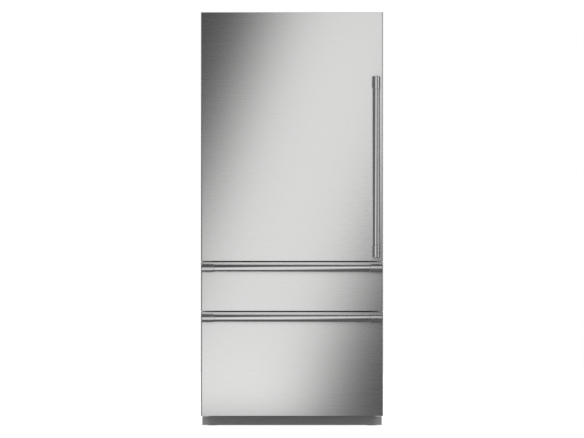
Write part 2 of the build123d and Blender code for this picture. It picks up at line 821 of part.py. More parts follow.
def make_bottom_hinge():
    """Lower hinge: a flange on the cross rail, an arm under the door and a pin up into it."""
    arm_half = hinge_arm_radius - hinge_arm_relief
    x0 = hinge_x - arm_half
    z0 = bottom_hinge_top - hinge_flange_height
    plan = Pos(hinge_x, hinge_y) * Circle(hinge_arm_radius)
    plan += Pos(hinge_x, (hinge_y + y_case) / 2) * Rectangle(2 * arm_half, y_case - hinge_y)
    arm = along_z(plan, bottom_hinge_top - hinge_plate, bottom_hinge_top)
    flange = block(x0, x0 + hinge_flange_width, y_case - hinge_flange_thickness, y_case, z0, bottom_hinge_top)
    pin = rod(hinge_x, hinge_y, bottom_hinge_top, door_core_z0 + hinge_pin_length, hinge_pin_diameter / 2)
    return arm + flange + pin


def hinge_bush(flange_height):
    """Bush whose body hangs down from the origin, with a flange on top and a closed end."""
    depth = hinge_pin_length + bush_floor
    bore = hinge_pin_diameter / 2 + running_clearance
    bush = rod(0, 0, -depth, 0, bush_diameter / 2) + rod(0, 0, 0, flange_height, bush_flange_diameter / 2)
    return bush - rod(0, 0, bush_floor / 2 - depth, flange_height + cut, bore)


def make_hinge_bushes():
    """Two flanged bushes pressed into the door, which turn on the hinge pins."""
    top = hinge_bush(case_top - door_core_z1 - bush_flange_gap)
    bottom = hinge_bush(bottom_hinge_gap - bush_flange_gap)
    return group([Pos(hinge_x, hinge_y, door_core_z1) * top,
                  Pos(hinge_x, hinge_y, door_core_z0) * Rot(180, 0, 0) * bottom])


# ================================================================== door
dyke_half = room_half - dyke_side_clearance
dyke_z0 = fridge_floor + dyke_end_clearance
dyke_z1 = fridge_ceiling - dyke_end_clearance
bin_levels = [fridge_floor + first_bin_rise + k * bin_pitch for k in range(bin_count)]
bin_half = dyke_half - dyke_width - bin_side_gap


def make_door_core():
    """Insulated door, with a socket for a hinge bush at its top and at its foot."""
    core = front_core(door_z0, door_z1, door_core_z0, door_core_z1)
    depth = hinge_pin_length + bush_floor
    for z0 in (door_core_z0, door_core_z1 - depth):
        core -= rod(hinge_x, hinge_y, z0, z0 + depth, bush_diameter / 2)
    return core


def make_door_liner():
    """Inner skin of the door: a sheet with a raised border, and a lug under each end of each bin."""
    sheet = window(room_half - lining_inset, fridge_floor + lining_inset, fridge_ceiling - lining_inset,
                   liner_radius)
    dyke = along_y(border(dyke_half, dyke_z0, dyke_z1, dyke_width, dyke_corner_radius), y_front_back,
                   y_front_back + dyke_depth)
    skin = along_y(sheet, y_front_back, bin_back)
    skin += fillet(dyke.edges().group_by(Axis.Y)[-1], dyke_rim_radius)
    x1 = dyke_half - dyke_width + lug_root
    for level in bin_levels:
        lug = block(x1 - lug_reach, x1, y_front_back, bin_back + lug_length, level - lug_height, level)
        corner = lug.edges().filter_by(Axis.Z).group_by(Axis.X)[0].sort_by(Axis.Y)[-1]
        skin += both_sides(fillet(corner, lug_radius))
    return skin


def bin_form(level, inset, lift):
    """A door bin's outer or inner form, leaning out at the top."""
    y0, y1 = bin_back + inset, bin_front - inset
    z0, z1 = level + inset, level + bin_height + lift
    side_view = polygon((y0, z0), (y1 - bin_lean, z0), (y1, z1), (y0, z1))
    form = along_x(side_view, inset - bin_half, bin_half - inset)
    upright = form.edges().filter_by(lambda e: abs((e @ 1 - e @ 0).Z) > bin_height / 2)
    return fillet(upright.group_by(Axis.Y)[-1], bin_radius - inset)


def make_door_bins():
    """Clear bins, each with a thicker rail along the top of its front."""
    bins = []
    for level in bin_levels:
        outer = bin_form(level, 0, 0)
        z1 = level + bin_height - bin_rail_drop
        half = bin_half - bin_radius
        rail = outer & block(-half, half, bin_front - bin_rail_depth, bin_front, z1 - bin_rail_height, z1)
        bins.append(outer - bin_form(level, bin_wall, cut) + rail)
    return group(bins)


# ================================================================== drawer slides
rail_y0 = y_case + rail_front_gap
rail_y1 = room_back - rail_back_gap
rail_length = rail_y1 - rail_y0
moving_y1 = rail_y1 - rail_sheet - rail_end_gap
runner_y0 = y_front_back + plug_depth
upper_slide_z = middle_floor + upper_slide_rise
lower_slide_z = freezer_floor + lower_slide_rise

# each section is drawn for the right-hand wall, with X running from the wall into the compartment
middle_end = fixed_depth - rail_sheet - rail_clearance
runner_end = middle_offset + rail_sheet + runner_web_gap
ledge_end = slide_depth - rail_sheet + ledge_width
middle_height = rail_height - 2 * rail_sheet - 2 * rail_clearance
runner_height = rail_height - 2 * rail_sheet - 2 * rail_lip - 2 * rail_clearance


def channel_section(x0, x1, height):
    """Front view of a C whose web stands at x0 and whose flanges end at x1."""
    middle = (x0 + x1) / 2
    hollow = Pos(middle + math.copysign(rail_sheet, x1 - x0), 0) * Rectangle(
        abs(x1 - x0), height - 2 * rail_sheet)
    return Pos(middle, 0) * Rectangle(abs(x1 - x0), height) - hollow


def fixed_section():
    """Fixed member: a C against the wall with its flanges' edges turned in."""
    lip_z = (rail_height - rail_sheet - rail_lip) / 2
    lip = Pos(fixed_depth - rail_sheet / 2, lip_z) * Rectangle(rail_sheet, rail_lip + rail_sheet)
    return channel_section(0, fixed_depth, rail_height) + lip + mirror(lip, Plane.XZ)


def middle_section():
    """Middle member: a C inside the fixed one, held behind its turned-in edges."""
    return channel_section(middle_offset, middle_end, middle_height)


def runner_section():
    """Drawer member: a C that faces the wall, with a ledge folded out at its top for the bin."""
    upstand_z0 = runner_height / 2 - rail_sheet
    upstand = Pos(slide_depth - rail_sheet / 2, (upstand_z0 + ledge_rise) / 2) * Rectangle(
        rail_sheet, ledge_rise - upstand_z0)
    ledge = Pos(ledge_end - ledge_width / 2, ledge_rise - rail_sheet / 2) * Rectangle(ledge_width, rail_sheet)
    return channel_section(slide_depth, runner_end, runner_height) + upstand + ledge


def at_wall(section, slide_z, y0, y1):
    """A slide section set against both side walls and carried from y0 to y1."""
    right = Pos(room_half, 0, slide_z) * mirror(along_y(section, y0, y1), Plane.YZ)
    return both_sides(right)


def fixed_rails(slide_z):
    """Fixed members with their screw holes and a tab that closes the back end."""
    half = rail_height / 2
    bars = at_wall(fixed_section(), slide_z, rail_y0, rail_y1)
    tab = block(room_half - fixed_depth, room_half, rail_y1 - rail_sheet, rail_y1, slide_z - half,
                slide_z + half)
    pitch = rail_length / rail_holes
    holes = [Pos(0, rail_y0 + (k + 0.5) * pitch, slide_z) * Rot(0, 90, 0) * Cylinder(
        rail_hole_diameter / 2, 2 * room_half) for k in range(rail_holes)]
    return [bar + piece - holes for bar, piece in zip(bars, both_sides(tab))]


def make_middle_rails(slide_z):
    return group(at_wall(middle_section(), slide_z, rail_y0, moving_y1))


def make_runners(slide_z):
    """Drawer members with the foot that screws to the back of the drawer front."""
    foot_top = slide_z + ledge_rise
    foot = block(room_half - ledge_end, room_half - plug_clearance, runner_y0, runner_y0 + runner_foot_sheet,
                 foot_top - runner_foot_height, foot_top)
    bars = at_wall(runner_section(), slide_z, runner_y0, moving_y1)
    return group(bar + piece for bar, piece in zip(bars, both_sides(foot)))


# ================================================================== drawer bins
cover_y = room_back - cover_reach
tub_y0 = runner_y0 + tub_front_gap
upper_tub_y1 = room_back - upper_tub_back_gap
lower_tub_y1 = cover_y - lower_tub_back_gap
tub_wide = room_half - tub_wide_gap
tub_narrow = room_half - ledge_end - tub_narrow_gap


def upper_tub_form(inset, lift):
    """Middle drawer bin's outer or inner form: narrow between the slides, wide above them."""
    z1 = middle_ceiling - tub_top_gap + lift
    low = window(tub_narrow - inset, middle_floor + tub_floor_gap + inset, z1)
    low = fillet(low.vertices().group_by(Axis.Y)[0], tub_radius - inset)
    outline = low + window(tub_wide - inset, upper_slide_z + ledge_rise + inset, z1)
    return along_y(outline, tub_y0 + inset, upper_tub_y1 - inset)


def lower_tub_form(inset, lift):
    """Freezer bin's outer or inner form: deep in front of the machine bay, wide above the slides."""
    y0, y1 = tub_y0 + inset, lower_tub_y1 - inset
    z0 = freezer_floor + tub_floor_gap + inset
    z1 = freezer_ceiling - tub_top_gap + lift
    deep_y = step_y - tub_step_gap - inset
    shallow_z = step_z + tub_step_gap + inset
    side_view = polygon((y0, z0), (deep_y - tub_step_lean, z0), (deep_y, shallow_z), (y1, shallow_z),
                        (y1, z1), (y0, z1))
    heel = side_view.vertices().filter_by(lambda v: v.Y < z0 + cut and v.X > y0 + cut)
    body = along_x(fillet(heel, tub_radius), inset - tub_narrow, tub_narrow - inset)
    body = fillet(body.edges().filter_by(Axis.Y).group_by(Axis.Z)[0], tub_radius - inset)
    return body + along_y(window(tub_wide - inset, lower_slide_z + ledge_rise + inset, z1), y0, y1)


def make_upper_tub():
    return upper_tub_form(0, 0) - upper_tub_form(tub_wall, cut)


def make_lower_tub():
    return lower_tub_form(0, 0) - lower_tub_form(tub_wall, cut)


basket_z0 = lower_slide_z + ledge_rise + tub_wall
basket_z1 = basket_z0 + basket_height
basket_y0 = tub_y0 + tub_wall + basket_end_gap
basket_y1 = lower_tub_y1 - tub_wall - basket_end_gap - basket_travel
basket_half = tub_wide - tub_wall - basket_side_gap


def basket_form(inset, lift):
    """Sliding basket's outer or inner form: a shallow tray whose walls lean out."""
    width = 2 * (basket_half - inset)
    depth = basket_y1 - basket_y0 - 2 * inset
    middle = Pos(0, (basket_y0 + basket_y1) / 2)
    foot = middle * RectangleRounded(width - 2 * basket_lean, depth - 2 * basket_lean, basket_radius)
    top = middle * RectangleRounded(width, depth, basket_radius)
    foot_face = (Plane.XY.offset(basket_z0 + inset) * foot).face()
    top_face = (Plane.XY.offset(basket_z1 + lift) * top).face()
    return loft([foot_face, top_face], ruled=True)


def make_basket():
    """Basket with a row of open slots through its front and back."""
    tray = basket_form(0, 0) - basket_form(tub_wall, cut)
    pitch = 2 * (basket_half - basket_solid_end) / basket_slots
    slots = slot_field(0, (basket_z0 + basket_z1) / 2, (pitch - basket_rib, basket_slot_height),
                       (pitch, basket_slot_height), (basket_slots, 1))
    return tray - [along_y(slot, basket_y0 - cut, basket_y1 + cut) for slot in slots]


# ================================================================== fans
def blade_chord(radius):
    """Width of a blade, measured along its pitch."""
    return (radius + fan_hub_radius) / 2 * math.radians(360 / fan_blades) * fan_blade_share


def hub_depth(radius):
    """Depth of the hub, which is as deep as the pitched blades and a rim at each end."""
    return blade_chord(radius) * math.sin(math.radians(fan_blade_pitch)) + fan_blade_sheet + 2 * fan_hub_rim


def fan_wheel(radius):
    """Fan about the Y axis, from Y = 0 on: hub, pitched blades and a shaft behind."""
    depth = hub_depth(radius)
    hub = along_y(Circle(fan_hub_radius), 0, depth)
    wheel = chamfer(hub.edges().group_by(Axis.Y)[0], fan_hub_chamfer)
    wheel += along_y(Circle(fan_shaft_diameter / 2), depth, depth + motor_depth)
    x0 = fan_hub_radius / 2
    tip = blade_chord(radius) / 2
    root = tip * fan_root_share
    outline = polygon((x0, -root), (radius, -tip), (radius, tip), (x0, root))
    blade = Rot(fan_blade_pitch, 0, 0) * along_y(outline, -fan_blade_sheet / 2, fan_blade_sheet / 2)
    blade = Pos(0, depth / 2, 0) * (blade & along_y(Circle(radius), -depth, depth))
    for k in range(fan_blades):
        wheel += Rot(0, k * 360 / fan_blades, 0) * blade
    return wheel


def fan_motor(radius):
    """Motor behind a fan, with a running bore, and the two arms that carry it past the blades."""
    y0 = hub_depth(radius) + motor_gap
    y1 = y0 + motor_depth
    reach = radius + 2 * fan_tip_gap + motor_arm
    motor = along_y(Circle(motor_radius), y0, y1)
    motor += along_y(Rectangle(2 * reach, motor_arm), y1 - motor_arm / 2, y1)
    motor += both_sides(block(reach - motor_arm, reach, -fan_gap, y1, -motor_arm / 2, motor_arm / 2))
    return motor - along_y(Circle(fan_shaft_diameter / 2 + running_clearance), 0, y1 - motor_gap / 2)


cover_half = room_half - cover_side_gap
cover_z0 = step_z + cover_end_gap
cover_z1 = freezer_ceiling - cover_end_gap
freezer_fan_z = (cover_z0 + cover_z1) / 2
shroud_x = shroud_inset - case_half
shroud_z = foam_bottom + shroud_size / 2
bay_y = (bay_front + y_back) / 2


def at_freezer_fan(piece):
    """A fan piece set behind the opening of the evaporator cover."""
    return Pos(0, cover_y + cover_sheet + fan_gap, freezer_fan_z) * piece


def at_bay_fan(piece):
    """A fan piece set beside the shroud, facing the compressor."""
    return Pos(shroud_x + shroud_sheet + fan_gap, bay_y, shroud_z) * Rot(0, 0, -90) * piece


# ================================================================== evaporator
def fin_pack(length, depth, height, fins):
    """Finned coil along X, centred in X and Y and standing on Z = 0, with its return bends."""
    pack = block(-length / 2, length / 2, -depth / 2, depth / 2, 0, height)
    pitch = length / fins
    gap = pitch * (1 - fin_share) / 2
    for k in range(fins - 1):
        x = (k + 1 - fins / 2) * pitch
        for y0, y1 in ((-depth, -coil_plane / 2), (coil_plane / 2, depth)):
            pack -= block(x - gap, x + gap, y0, y1, -cut, height + cut)
    radius = height / 8
    ring = Circle(radius + coil_tube / 2) - Circle(radius - coil_tube / 2)
    half_ring = along_y(ring, -coil_tube / 2, coil_tube / 2) & block(
        0, 2 * radius, -coil_tube, coil_tube, -2 * radius, 2 * radius)
    for z in (height / 4, 3 * height / 4):
        pack += both_sides(Pos(length / 2, 0, z) * half_ring)
    return pack


def make_evaporator():
    """Evaporator coil on the back wall of the freezer, behind the cover."""
    height = cover_z1 - cover_z0 - 2 * cover_sheet - 2 * coil_inset
    coil = fin_pack(2 * (cover_half - evaporator_inset), evaporator_depth, height, evaporator_fins)
    return Pos(0, room_back - evaporator_depth / 2, cover_z0 + cover_sheet + coil_inset) * coil


def make_evaporator_cover():
    """Tray-shaped cover over the evaporator, with the fan's opening and rows of return vents."""
    cover = along_y(window(cover_half, cover_z0, cover_z1, cover_radius), cover_y, room_back)
    cover -= along_y(window(cover_half - cover_sheet, cover_z0 + cover_sheet, cover_z1 - cover_sheet,
                            cover_radius - cover_sheet), cover_y + cover_sheet, room_back)
    openings = [Pos(0, freezer_fan_z) * Circle(freezer_fan_radius + fan_tip_gap)]
    middle = cover_half - return_vent_inset - return_vent_pitch / 2
    for x in (-middle, middle):
        openings += slot_field(x, freezer_fan_z, (return_vent_width, vent_height),
                               (return_vent_pitch, vent_pitch), (2, return_vents))
    return cover - [along_y(shape, cover_y - cut, cover_y + cover_sheet + cut) for shape in openings]


# ================================================================== machine bay
def make_fan_shroud():
    """Upright plate across the bay with the condenser fan's opening and a short nozzle round it."""
    x0, x1 = shroud_x, shroud_x + shroud_sheet
    y0, y1 = bay_front + shroud_gap, y_back - case_sheet - shroud_gap
    opening = condenser_fan_radius + fan_tip_gap
    centre = Pos(bay_y, shroud_z)
    shroud = block(x0, x1, y0, y1, foam_bottom, foam_bottom + shroud_size)
    shroud += block(x0, x0 + shroud_foot, y0, y1, foam_bottom, foam_bottom + shroud_sheet)
    shroud += along_x(centre * Circle(opening + shroud_sheet), x0 - shroud_nozzle, x0)
    return shroud - along_x(centre * Circle(opening), x0 - shroud_nozzle - cut, x1 + cut)


def make_condenser():
    """Condenser coil beside the fan, standing on the base pan."""
    x0 = shroud_x + hub_depth(condenser_fan_radius) + motor_depth + condenser_gap
    coil = fin_pack(condenser_length, condenser_depth, condenser_height, condenser_fins)
    return Pos(x0 + condenser_length / 2, bay_y, foam_bottom) * coil


compressor_x = compressor_inset - case_half


def make_compressor():
    """Hermetic compressor: two pressed shells with a seam, a foot plate, terminal box and stubs."""
    z0 = foam_bottom + grommet_height
    z1 = z0 + compressor_height
    rim = compressor_radius
    wall = rim - shell_sheet
    seam0 = z0 + shell_seam_rise - shell_seam_height / 2
    seam1 = seam0 + shell_seam_height
    half_view = polygon(
        (0, z0), (rim - shell_foot_inset, z0), (wall, z0 + shell_foot_inset), (wall, seam0), (rim, seam0),
        (rim, seam1), (wall, seam1), (wall, z1 - shell_shoulder),
        (rim - shell_crown_inset, z1 - shell_crown_drop), (0, z1))
    foot = grommet_spacing + 2 * grommet_radius
    box_x1 = wall + terminal_proud
    box_z0 = seam1 + shell_seam_height
    body = revolve(Plane.XZ * half_view, Axis.Z)
    body += along_z(RectangleRounded(foot, foot, foot_radius), z0, z0 + foot_sheet)
    body += block(box_x1 - terminal_depth, box_x1, -terminal_width / 2, terminal_width / 2, box_z0,
                  box_z0 + terminal_height)
    for x in (-rim / 2, rim / 2):
        body += rod(x, 0, z1 - stub_height, z1 + stub_height, stub_diameter / 2)
    return Pos(compressor_x, bay_y, 0) * body


def make_compressor_mounts():
    """Four rubber mounts under the compressor's foot plate."""
    mount = rod(compressor_x, bay_y, foam_bottom, foam_bottom + grommet_height, grommet_radius)
    return group(place * mount for place in GridLocations(grommet_spacing, grommet_spacing, 2, 2))


inlet_x = inlet_inset - case_half
inlet_z = case_bottom + inlet_rise


def make_machine_cover():
    """Rear cover of the machine bay with a field of slots and a hole for the cord bushing."""
    y0 = y_back - case_sheet
    openings = slot_field(cover_column_shift, (foam_bottom + bay_top) / 2,
                          (cover_slot_width, cover_slot_height), (cover_column_pitch, cover_slot_pitch),
                          (cover_slot_columns, cover_slot_rows))
    openings.append(Pos(inlet_x, inlet_z) * Circle(inlet_radius))
    sheet = along_y(window(case_half - case_sheet, foam_bottom, bay_top), y0, y_back)
    return sheet - [along_y(shape, y0 - cut, y_back + cut) for shape in openings]


def make_cord_bushing():
    """Closed bushing where the mains lead leaves the machine bay."""
    y0 = y_back - case_sheet
    centre = Pos(inlet_x, inlet_z)
    collar = along_y(centre * Circle(inlet_radius + bushing_rim), y0 - bushing_rim, y0)
    return collar + along_y(centre * Circle(inlet_radius - bushing_clearance), y0, y_back)


# ================================================================== all pieces
pieces = {
    # case
    "outer_case": make_outer_case(),
    "back_panel": make_back_panel(),
    "cabinet_insulation": make_insulation(),
    "fridge_liner": make_fridge_liner(),
    "middle_liner": make_middle_liner(),
    "freezer_liner": make_freezer_liner(),
    "mullion_rails": make_mullion_rails(),
    "base_frame": make_base_frame(),
    "toe_kick": make_toe_kick(),
    "left_leg": make_leg(-1),
    "right_leg": make_leg(1),
    "left_roller": make_roller(-1),
    "right_roller": make_roller(1),
    "top_hinge": make_top_hinge(),
    "bottom_hinge": make_bottom_hinge(),
    # refrigerator fittings
    "shelf_frames": group(shelf_frame(top) for top in shelf_tops),
    "shelf_glass": group(shelf_pane(top) for top in (*shelf_tops, crisper_top)),
    "crisper_cover": make_crisper_cover(),
    "left_crisper": mirror(make_crisper(), Plane.YZ),
    "right_crisper": make_crisper(),
    "air_tower": make_air_tower(),
    "light_lenses": make_light_lenses(),
    "control_panel": make_control_panel(),
    # cooling
    "evaporator": make_evaporator(),
    "evaporator_cover": make_evaporator_cover(),
    "fan_shroud": make_fan_shroud(),
    "fan_motors": group([at_freezer_fan(fan_motor(freezer_fan_radius)),
                         at_bay_fan(fan_motor(condenser_fan_radius))]),
    "freezer_fan": at_freezer_fan(fan_wheel(freezer_fan_radius)),
    "condenser_fan": at_bay_fan(fan_wheel(condenser_fan_radius)),
    "condenser": make_condenser(),
    "compressor": make_compressor(),
    "compressor_mounts": make_compressor_mounts(),
    "machine_cover": make_machine_cover(),
    "cord_bushing": make_cord_bushing(),
    # door
    "door_panel": make_panel(door_z0, door_z1),
    "door_core": make_door_core(),
    "door_liner": make_door_liner(),
    "door_seal": make_seal(fridge_floor, fridge_ceiling),
    "door_bins": make_door_bins(),
    "hinge_bushes": make_hinge_bushes(),
    "door_handle_bar": on_door(handle_bar()),
    "door_handle_posts": on_door(handle_posts()),
    # slides and bins of the drawers
    "fixed_rails": group(fixed_rails(upper_slide_z) + fixed_rails(lower_slide_z)),
    "upper_drawer_bin": make_upper_tub(),
    "lower_drawer_bin": make_lower_tub(),
    "freezer_basket": make_basket(),
}

drawers = [
    ("upper", upper_z0, upper_z1, middle_floor, middle_ceiling, upper_slide_z),
    ("lower", lower_z0, lower_z1, freezer_floor, freezer_ceiling, lower_slide_z),
]
for drawer, z0, z1, floor, ceiling, slide_z in drawers:
    pieces[f"{drawer}_drawer_panel"] = make_panel(z0, z1)
    pieces[f"{drawer}_drawer_core"] = drawer_front(z0, z1, floor, ceiling)
    pieces[f"{drawer}_drawer_seal"] = make_seal(floor, ceiling)
    pieces[f"{drawer}_handle_bar"] = on_drawer(handle_bar(), z1)
    pieces[f"{drawer}_handle_posts"] = on_drawer(handle_posts(), z1)
    pieces[f"{drawer}_middle_rails"] = make_middle_rails(slide_z)
    pieces[f"{drawer}_runners"] = make_runners(slide_z)

os.makedirs("parts", exist_ok=True)
for name, shape in pieces.items():
    export_step(shape, f"parts/{name}.step")
print(len(pieces), "pieces written")
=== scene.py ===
import bpy
import bmesh
import json
import math
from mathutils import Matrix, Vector


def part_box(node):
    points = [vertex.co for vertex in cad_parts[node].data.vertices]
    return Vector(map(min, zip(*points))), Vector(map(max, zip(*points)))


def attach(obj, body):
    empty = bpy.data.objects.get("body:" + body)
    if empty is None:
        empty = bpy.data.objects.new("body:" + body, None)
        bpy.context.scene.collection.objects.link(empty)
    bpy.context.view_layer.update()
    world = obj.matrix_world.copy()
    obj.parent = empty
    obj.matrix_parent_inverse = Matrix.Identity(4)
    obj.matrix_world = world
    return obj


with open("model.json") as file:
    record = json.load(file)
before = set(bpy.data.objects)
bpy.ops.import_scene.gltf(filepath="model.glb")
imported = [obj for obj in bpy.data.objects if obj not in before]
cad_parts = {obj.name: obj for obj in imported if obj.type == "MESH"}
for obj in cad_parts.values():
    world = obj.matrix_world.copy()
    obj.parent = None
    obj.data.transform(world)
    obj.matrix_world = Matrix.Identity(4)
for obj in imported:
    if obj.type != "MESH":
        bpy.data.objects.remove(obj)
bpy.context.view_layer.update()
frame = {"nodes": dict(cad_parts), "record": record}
nodes = frame["nodes"]
slotOfNode = {row["node"]: row["material_slot"] for row in frame["record"]["subparts"]}
print("frame loaded:", len(nodes), "nodes")


# helpers for modelling by hand
def deselectAll():
    if bpy.context.object and bpy.context.object.mode != "OBJECT":
        bpy.ops.object.mode_set(mode="OBJECT")
    bpy.ops.object.select_all(action="DESELECT")


def selectOnly(piece):
    deselectAll()
    piece.select_set(True)
    bpy.context.view_layer.objects.active = piece


def startPiece(name):  # the primitive that was just added
    piece = bpy.context.object
    piece.name = name
    bpy.ops.object.transform_apply(location=True, rotation=True, scale=True)
    return piece


squareOn = 0.9  # cosine above which a face counts as facing along an axis
sameLevel = 1e-6  # metres below which an edge counts as lying level


def editOnly(piece, mode, test):  # edit mode, with what passes the test selected
    selectOnly(piece)
    bpy.ops.object.mode_set(mode="EDIT")
    bpy.ops.mesh.select_mode(type=mode)
    bpy.ops.mesh.select_all(action="DESELECT")
    shape = bmesh.from_edit_mesh(piece.data)
    for item in (shape.faces if mode == "FACE" else shape.edges):
        item.select_set(bool(test(item)))
    bmesh.update_edit_mesh(piece.data)


def endEdit():
    bpy.ops.object.mode_set(mode="OBJECT")


def addBlock(name, low, high, bevel=0.0, segments=2, tilt=0.0):  # tilt turns it about X, round its middle
    middle = [(a + b) / 2 for a, b in zip(low, high)]
    deselectAll()
    bpy.ops.mesh.primitive_cube_add(size=1, location=middle, scale=[b - a for a, b in zip(low, high)],
                                    rotation=(tilt, 0, 0))
    piece = startPiece(name)
    if bevel:
        editOnly(piece, "EDGE", lambda edge: True)
        bpy.ops.mesh.bevel(offset=bevel, segments=segments, affect="EDGES")
        endEdit()
    return piece


def addPlate(name, middle, size, bevel=0.0, segments=2):  # a block round its middle
    return addBlock(name, middle - Vector(size) / 2, middle + Vector(size) / 2, bevel, segments)


def addRod(name, middle, radius, length, axis="Z", vertices=24, bevel=0.0, segments=2):
    turn = {"X": (0, math.pi / 2, 0), "Y": (math.pi / 2, 0, 0), "Z": (0, 0, 0)}[axis]
    deselectAll()
    bpy.ops.mesh.primitive_cylinder_add(vertices=vertices, radius=radius, depth=length, location=middle,
                                        rotation=turn)
    piece = startPiece(name)
    if bevel:  # both rims
        at = "XYZ".index(axis)
        editOnly(piece, "EDGE", lambda edge: abs(edge.verts[0].co[at] - edge.verts[1].co[at]) < sameLevel)
        bpy.ops.mesh.bevel(offset=bevel, segments=segments, affect="EDGES")
        endEdit()
    return piece


def copyPiece(piece, move):
    selectOnly(piece)
    bpy.ops.object.duplicate(linked=False)
    bpy.ops.transform.translate(value=move)
    bpy.ops.object.transform_apply(location=True, rotation=True, scale=True)
    return bpy.context.object


def joinPieces(pieces, name):
    selectOnly(pieces[0])
    for piece in pieces[1:]:
        piece.select_set(True)
    if len(pieces) > 1:
        bpy.ops.object.join()
    joined = bpy.context.object
    joined.name = name
    return joined


def repeatPiece(piece, moves, name):  # the first stays where it was modelled
    return joinPieces([piece] + [copyPiece(piece, move) for move in moves], name)


def cutAway(piece, cutter):
    selectOnly(piece)
    cut = piece.modifiers.new("cut", "BOOLEAN")
    cut.operation = "DIFFERENCE"
    cut.object = cutter
    bpy.ops.object.modifier_apply(modifier="cut")
    bpy.data.objects.remove(cutter)
    return piece


def smooth(piece, degrees=35):
    selectOnly(piece)
    bpy.ops.object.shade_smooth_by_angle(angle=math.radians(degrees))
    return piece


pipes = {"around": 3, "along": 6, "order": 3, "longestBend": 0.45, "smooth": 40}  # bend: share of a run


def addPipe(name, points, radius, bend):  # a rigid bent pipe through its corners
    deselectAll()
    curve = bpy.data.curves.new(name, "CURVE")
    curve.dimensions = "3D"
    curve.bevel_depth = radius
    curve.bevel_resolution = pipes["around"]
    curve.resolution_u = pipes["along"]
    curve.use_fill_caps = True
    corners = [Vector(p) for p in points]
    path = [corners[0]]
    for before, corner, after in zip(corners, corners[1:], corners[2:]):
        for end in (before, after):
            reach = min(bend, (end - corner).length * pipes["longestBend"])
            path.append(corner + (end - corner).normalized() * reach)
            if end is before:
                path.append(corner.copy())
    path.append(corners[-1])
    line = curve.splines.new("NURBS")
    line.points.add(len(path) - 1)
    for point, place in zip(line.points, path):
        point.co = (*place, 1)
    line.order_u = pipes["order"]
    line.use_endpoint_u = True
    piece = bpy.data.objects.new(name, curve)
    bpy.context.scene.collection.objects.link(piece)
    selectOnly(piece)
    bpy.ops.object.convert(target="MESH")
    return smooth(piece, pipes["smooth"])


def addLoop(name, corners, radius, bend):  # a bead that closes in the middle of its last side
    start = (Vector(corners[-1]) + Vector(corners[0])) / 2
    return addPipe(name, [start, *corners, start], radius, bend)


# shared effects: each takes a place and its own amounts, and gives a tone and a height
def newGroup(name, amounts):
    group = bpy.data.node_groups.new(name, "ShaderNodeTree")
    group.interface.new_socket("Place", in_out="INPUT", socket_type="NodeSocketVector")
    for label in amounts:
        group.interface.new_socket(label, in_out="INPUT", socket_type="NodeSocketFloat")
    for label in ("Tone", "Height"):
        group.interface.new_socket(label, in_out="OUTPUT", socket_type="NodeSocketFloat")
    return group, group.nodes.new("NodeGroupInput"), group.nodes.new("NodeGroupOutput")


def mathNode(tree, operation, first, second=None):
    node = tree.nodes.new("ShaderNodeMath")
    node.operation = operation
    for socket, value in zip(node.inputs, (first, second)):
        if value is None:
            continue
        if isinstance(value, (int, float)):
            socket.default_value = value
        else:
            tree.links.new(value, socket)
    return node.outputs[0]


def rampNode(tree, value, start, end, low, high):  # eased at both ends
    node = tree.nodes.new("ShaderNodeMapRange")
    node.interpolation_type = "SMOOTHSTEP"
    for label, number in (("From Min", start), ("From Max", end), ("To Min", low), ("To Max", high)):
        node.inputs[label].default_value = number
    tree.links.new(value, node.inputs["Value"])
    return node.outputs[0]


noiseRoughness = 0.55


def noiseNode(tree, place, scale, detail):
    node = tree.nodes.new("ShaderNodeTexNoise")
    node.inputs["Detail"].default_value = detail
    node.inputs["Roughness"].default_value = noiseRoughness
    if isinstance(scale, (int, float)):
        node.inputs["Scale"].default_value = scale
    else:
        tree.links.new(scale, node.inputs["Scale"])
    tree.links.new(place, node.inputs["Vector"])
    return node.outputs["Fac"]


def stretchNode(tree, place, factors):  # place times one factor on each axis
    combine = tree.nodes.new("ShaderNodeCombineXYZ")
    for socket, value in zip(combine.inputs, factors):
        if isinstance(value, (int, float)):
            socket.default_value = value
        else:
            tree.links.new(value, socket)
    multiply = tree.nodes.new("ShaderNodeVectorMath")
    multiply.operation = "MULTIPLY"
    tree.links.new(place, multiply.inputs[0])
    tree.links.new(combine.outputs[0], multiply.inputs[1])
    return multiply.outputs[0]


def blendNode(tree, first, second, share):  # the first has this share
    return mathNode(tree, "ADD", mathNode(tree, "MULTIPLY", first, share),
                    mathNode(tree, "MULTIPLY", second, 1 - share))


brush = {"wider": 0.16}  # spacing of the fine lines over that of the wide ones
mould = {"pebbles": 0.35, "waveHeight": 0.5}
foam = {"cells": 0.4, "clouds": 9.0}
spangle = {"crystals": 0.5, "clouds": 14.0}


def makeBrushLines():  # lines along X, in two widths
    group, ins, outs = newGroup("brushLines", ("Along", "Across", "Broad"))
    fine = noiseNode(group, stretchNode(group, ins.outputs["Place"], [
        ins.outputs["Along"], ins.outputs["Across"], ins.outputs["Across"]]), 1.0, 3)
    wideAcross = mathNode(group, "MULTIPLY", ins.outputs["Across"], brush["wider"])
    wide = noiseNode(group, stretchNode(group, ins.outputs["Place"], [
        ins.outputs["Along"], wideAcross, wideAcross]), 1.0, 2)
    part = mathNode(group, "MULTIPLY", wide, ins.outputs["Broad"])
    rest = mathNode(group, "MULTIPLY", fine, mathNode(group, "SUBTRACT", 1.0, ins.outputs["Broad"]))
    group.links.new(mathNode(group, "ADD", part, rest), outs.inputs["Tone"])
    group.links.new(fine, outs.inputs["Height"])
    return group


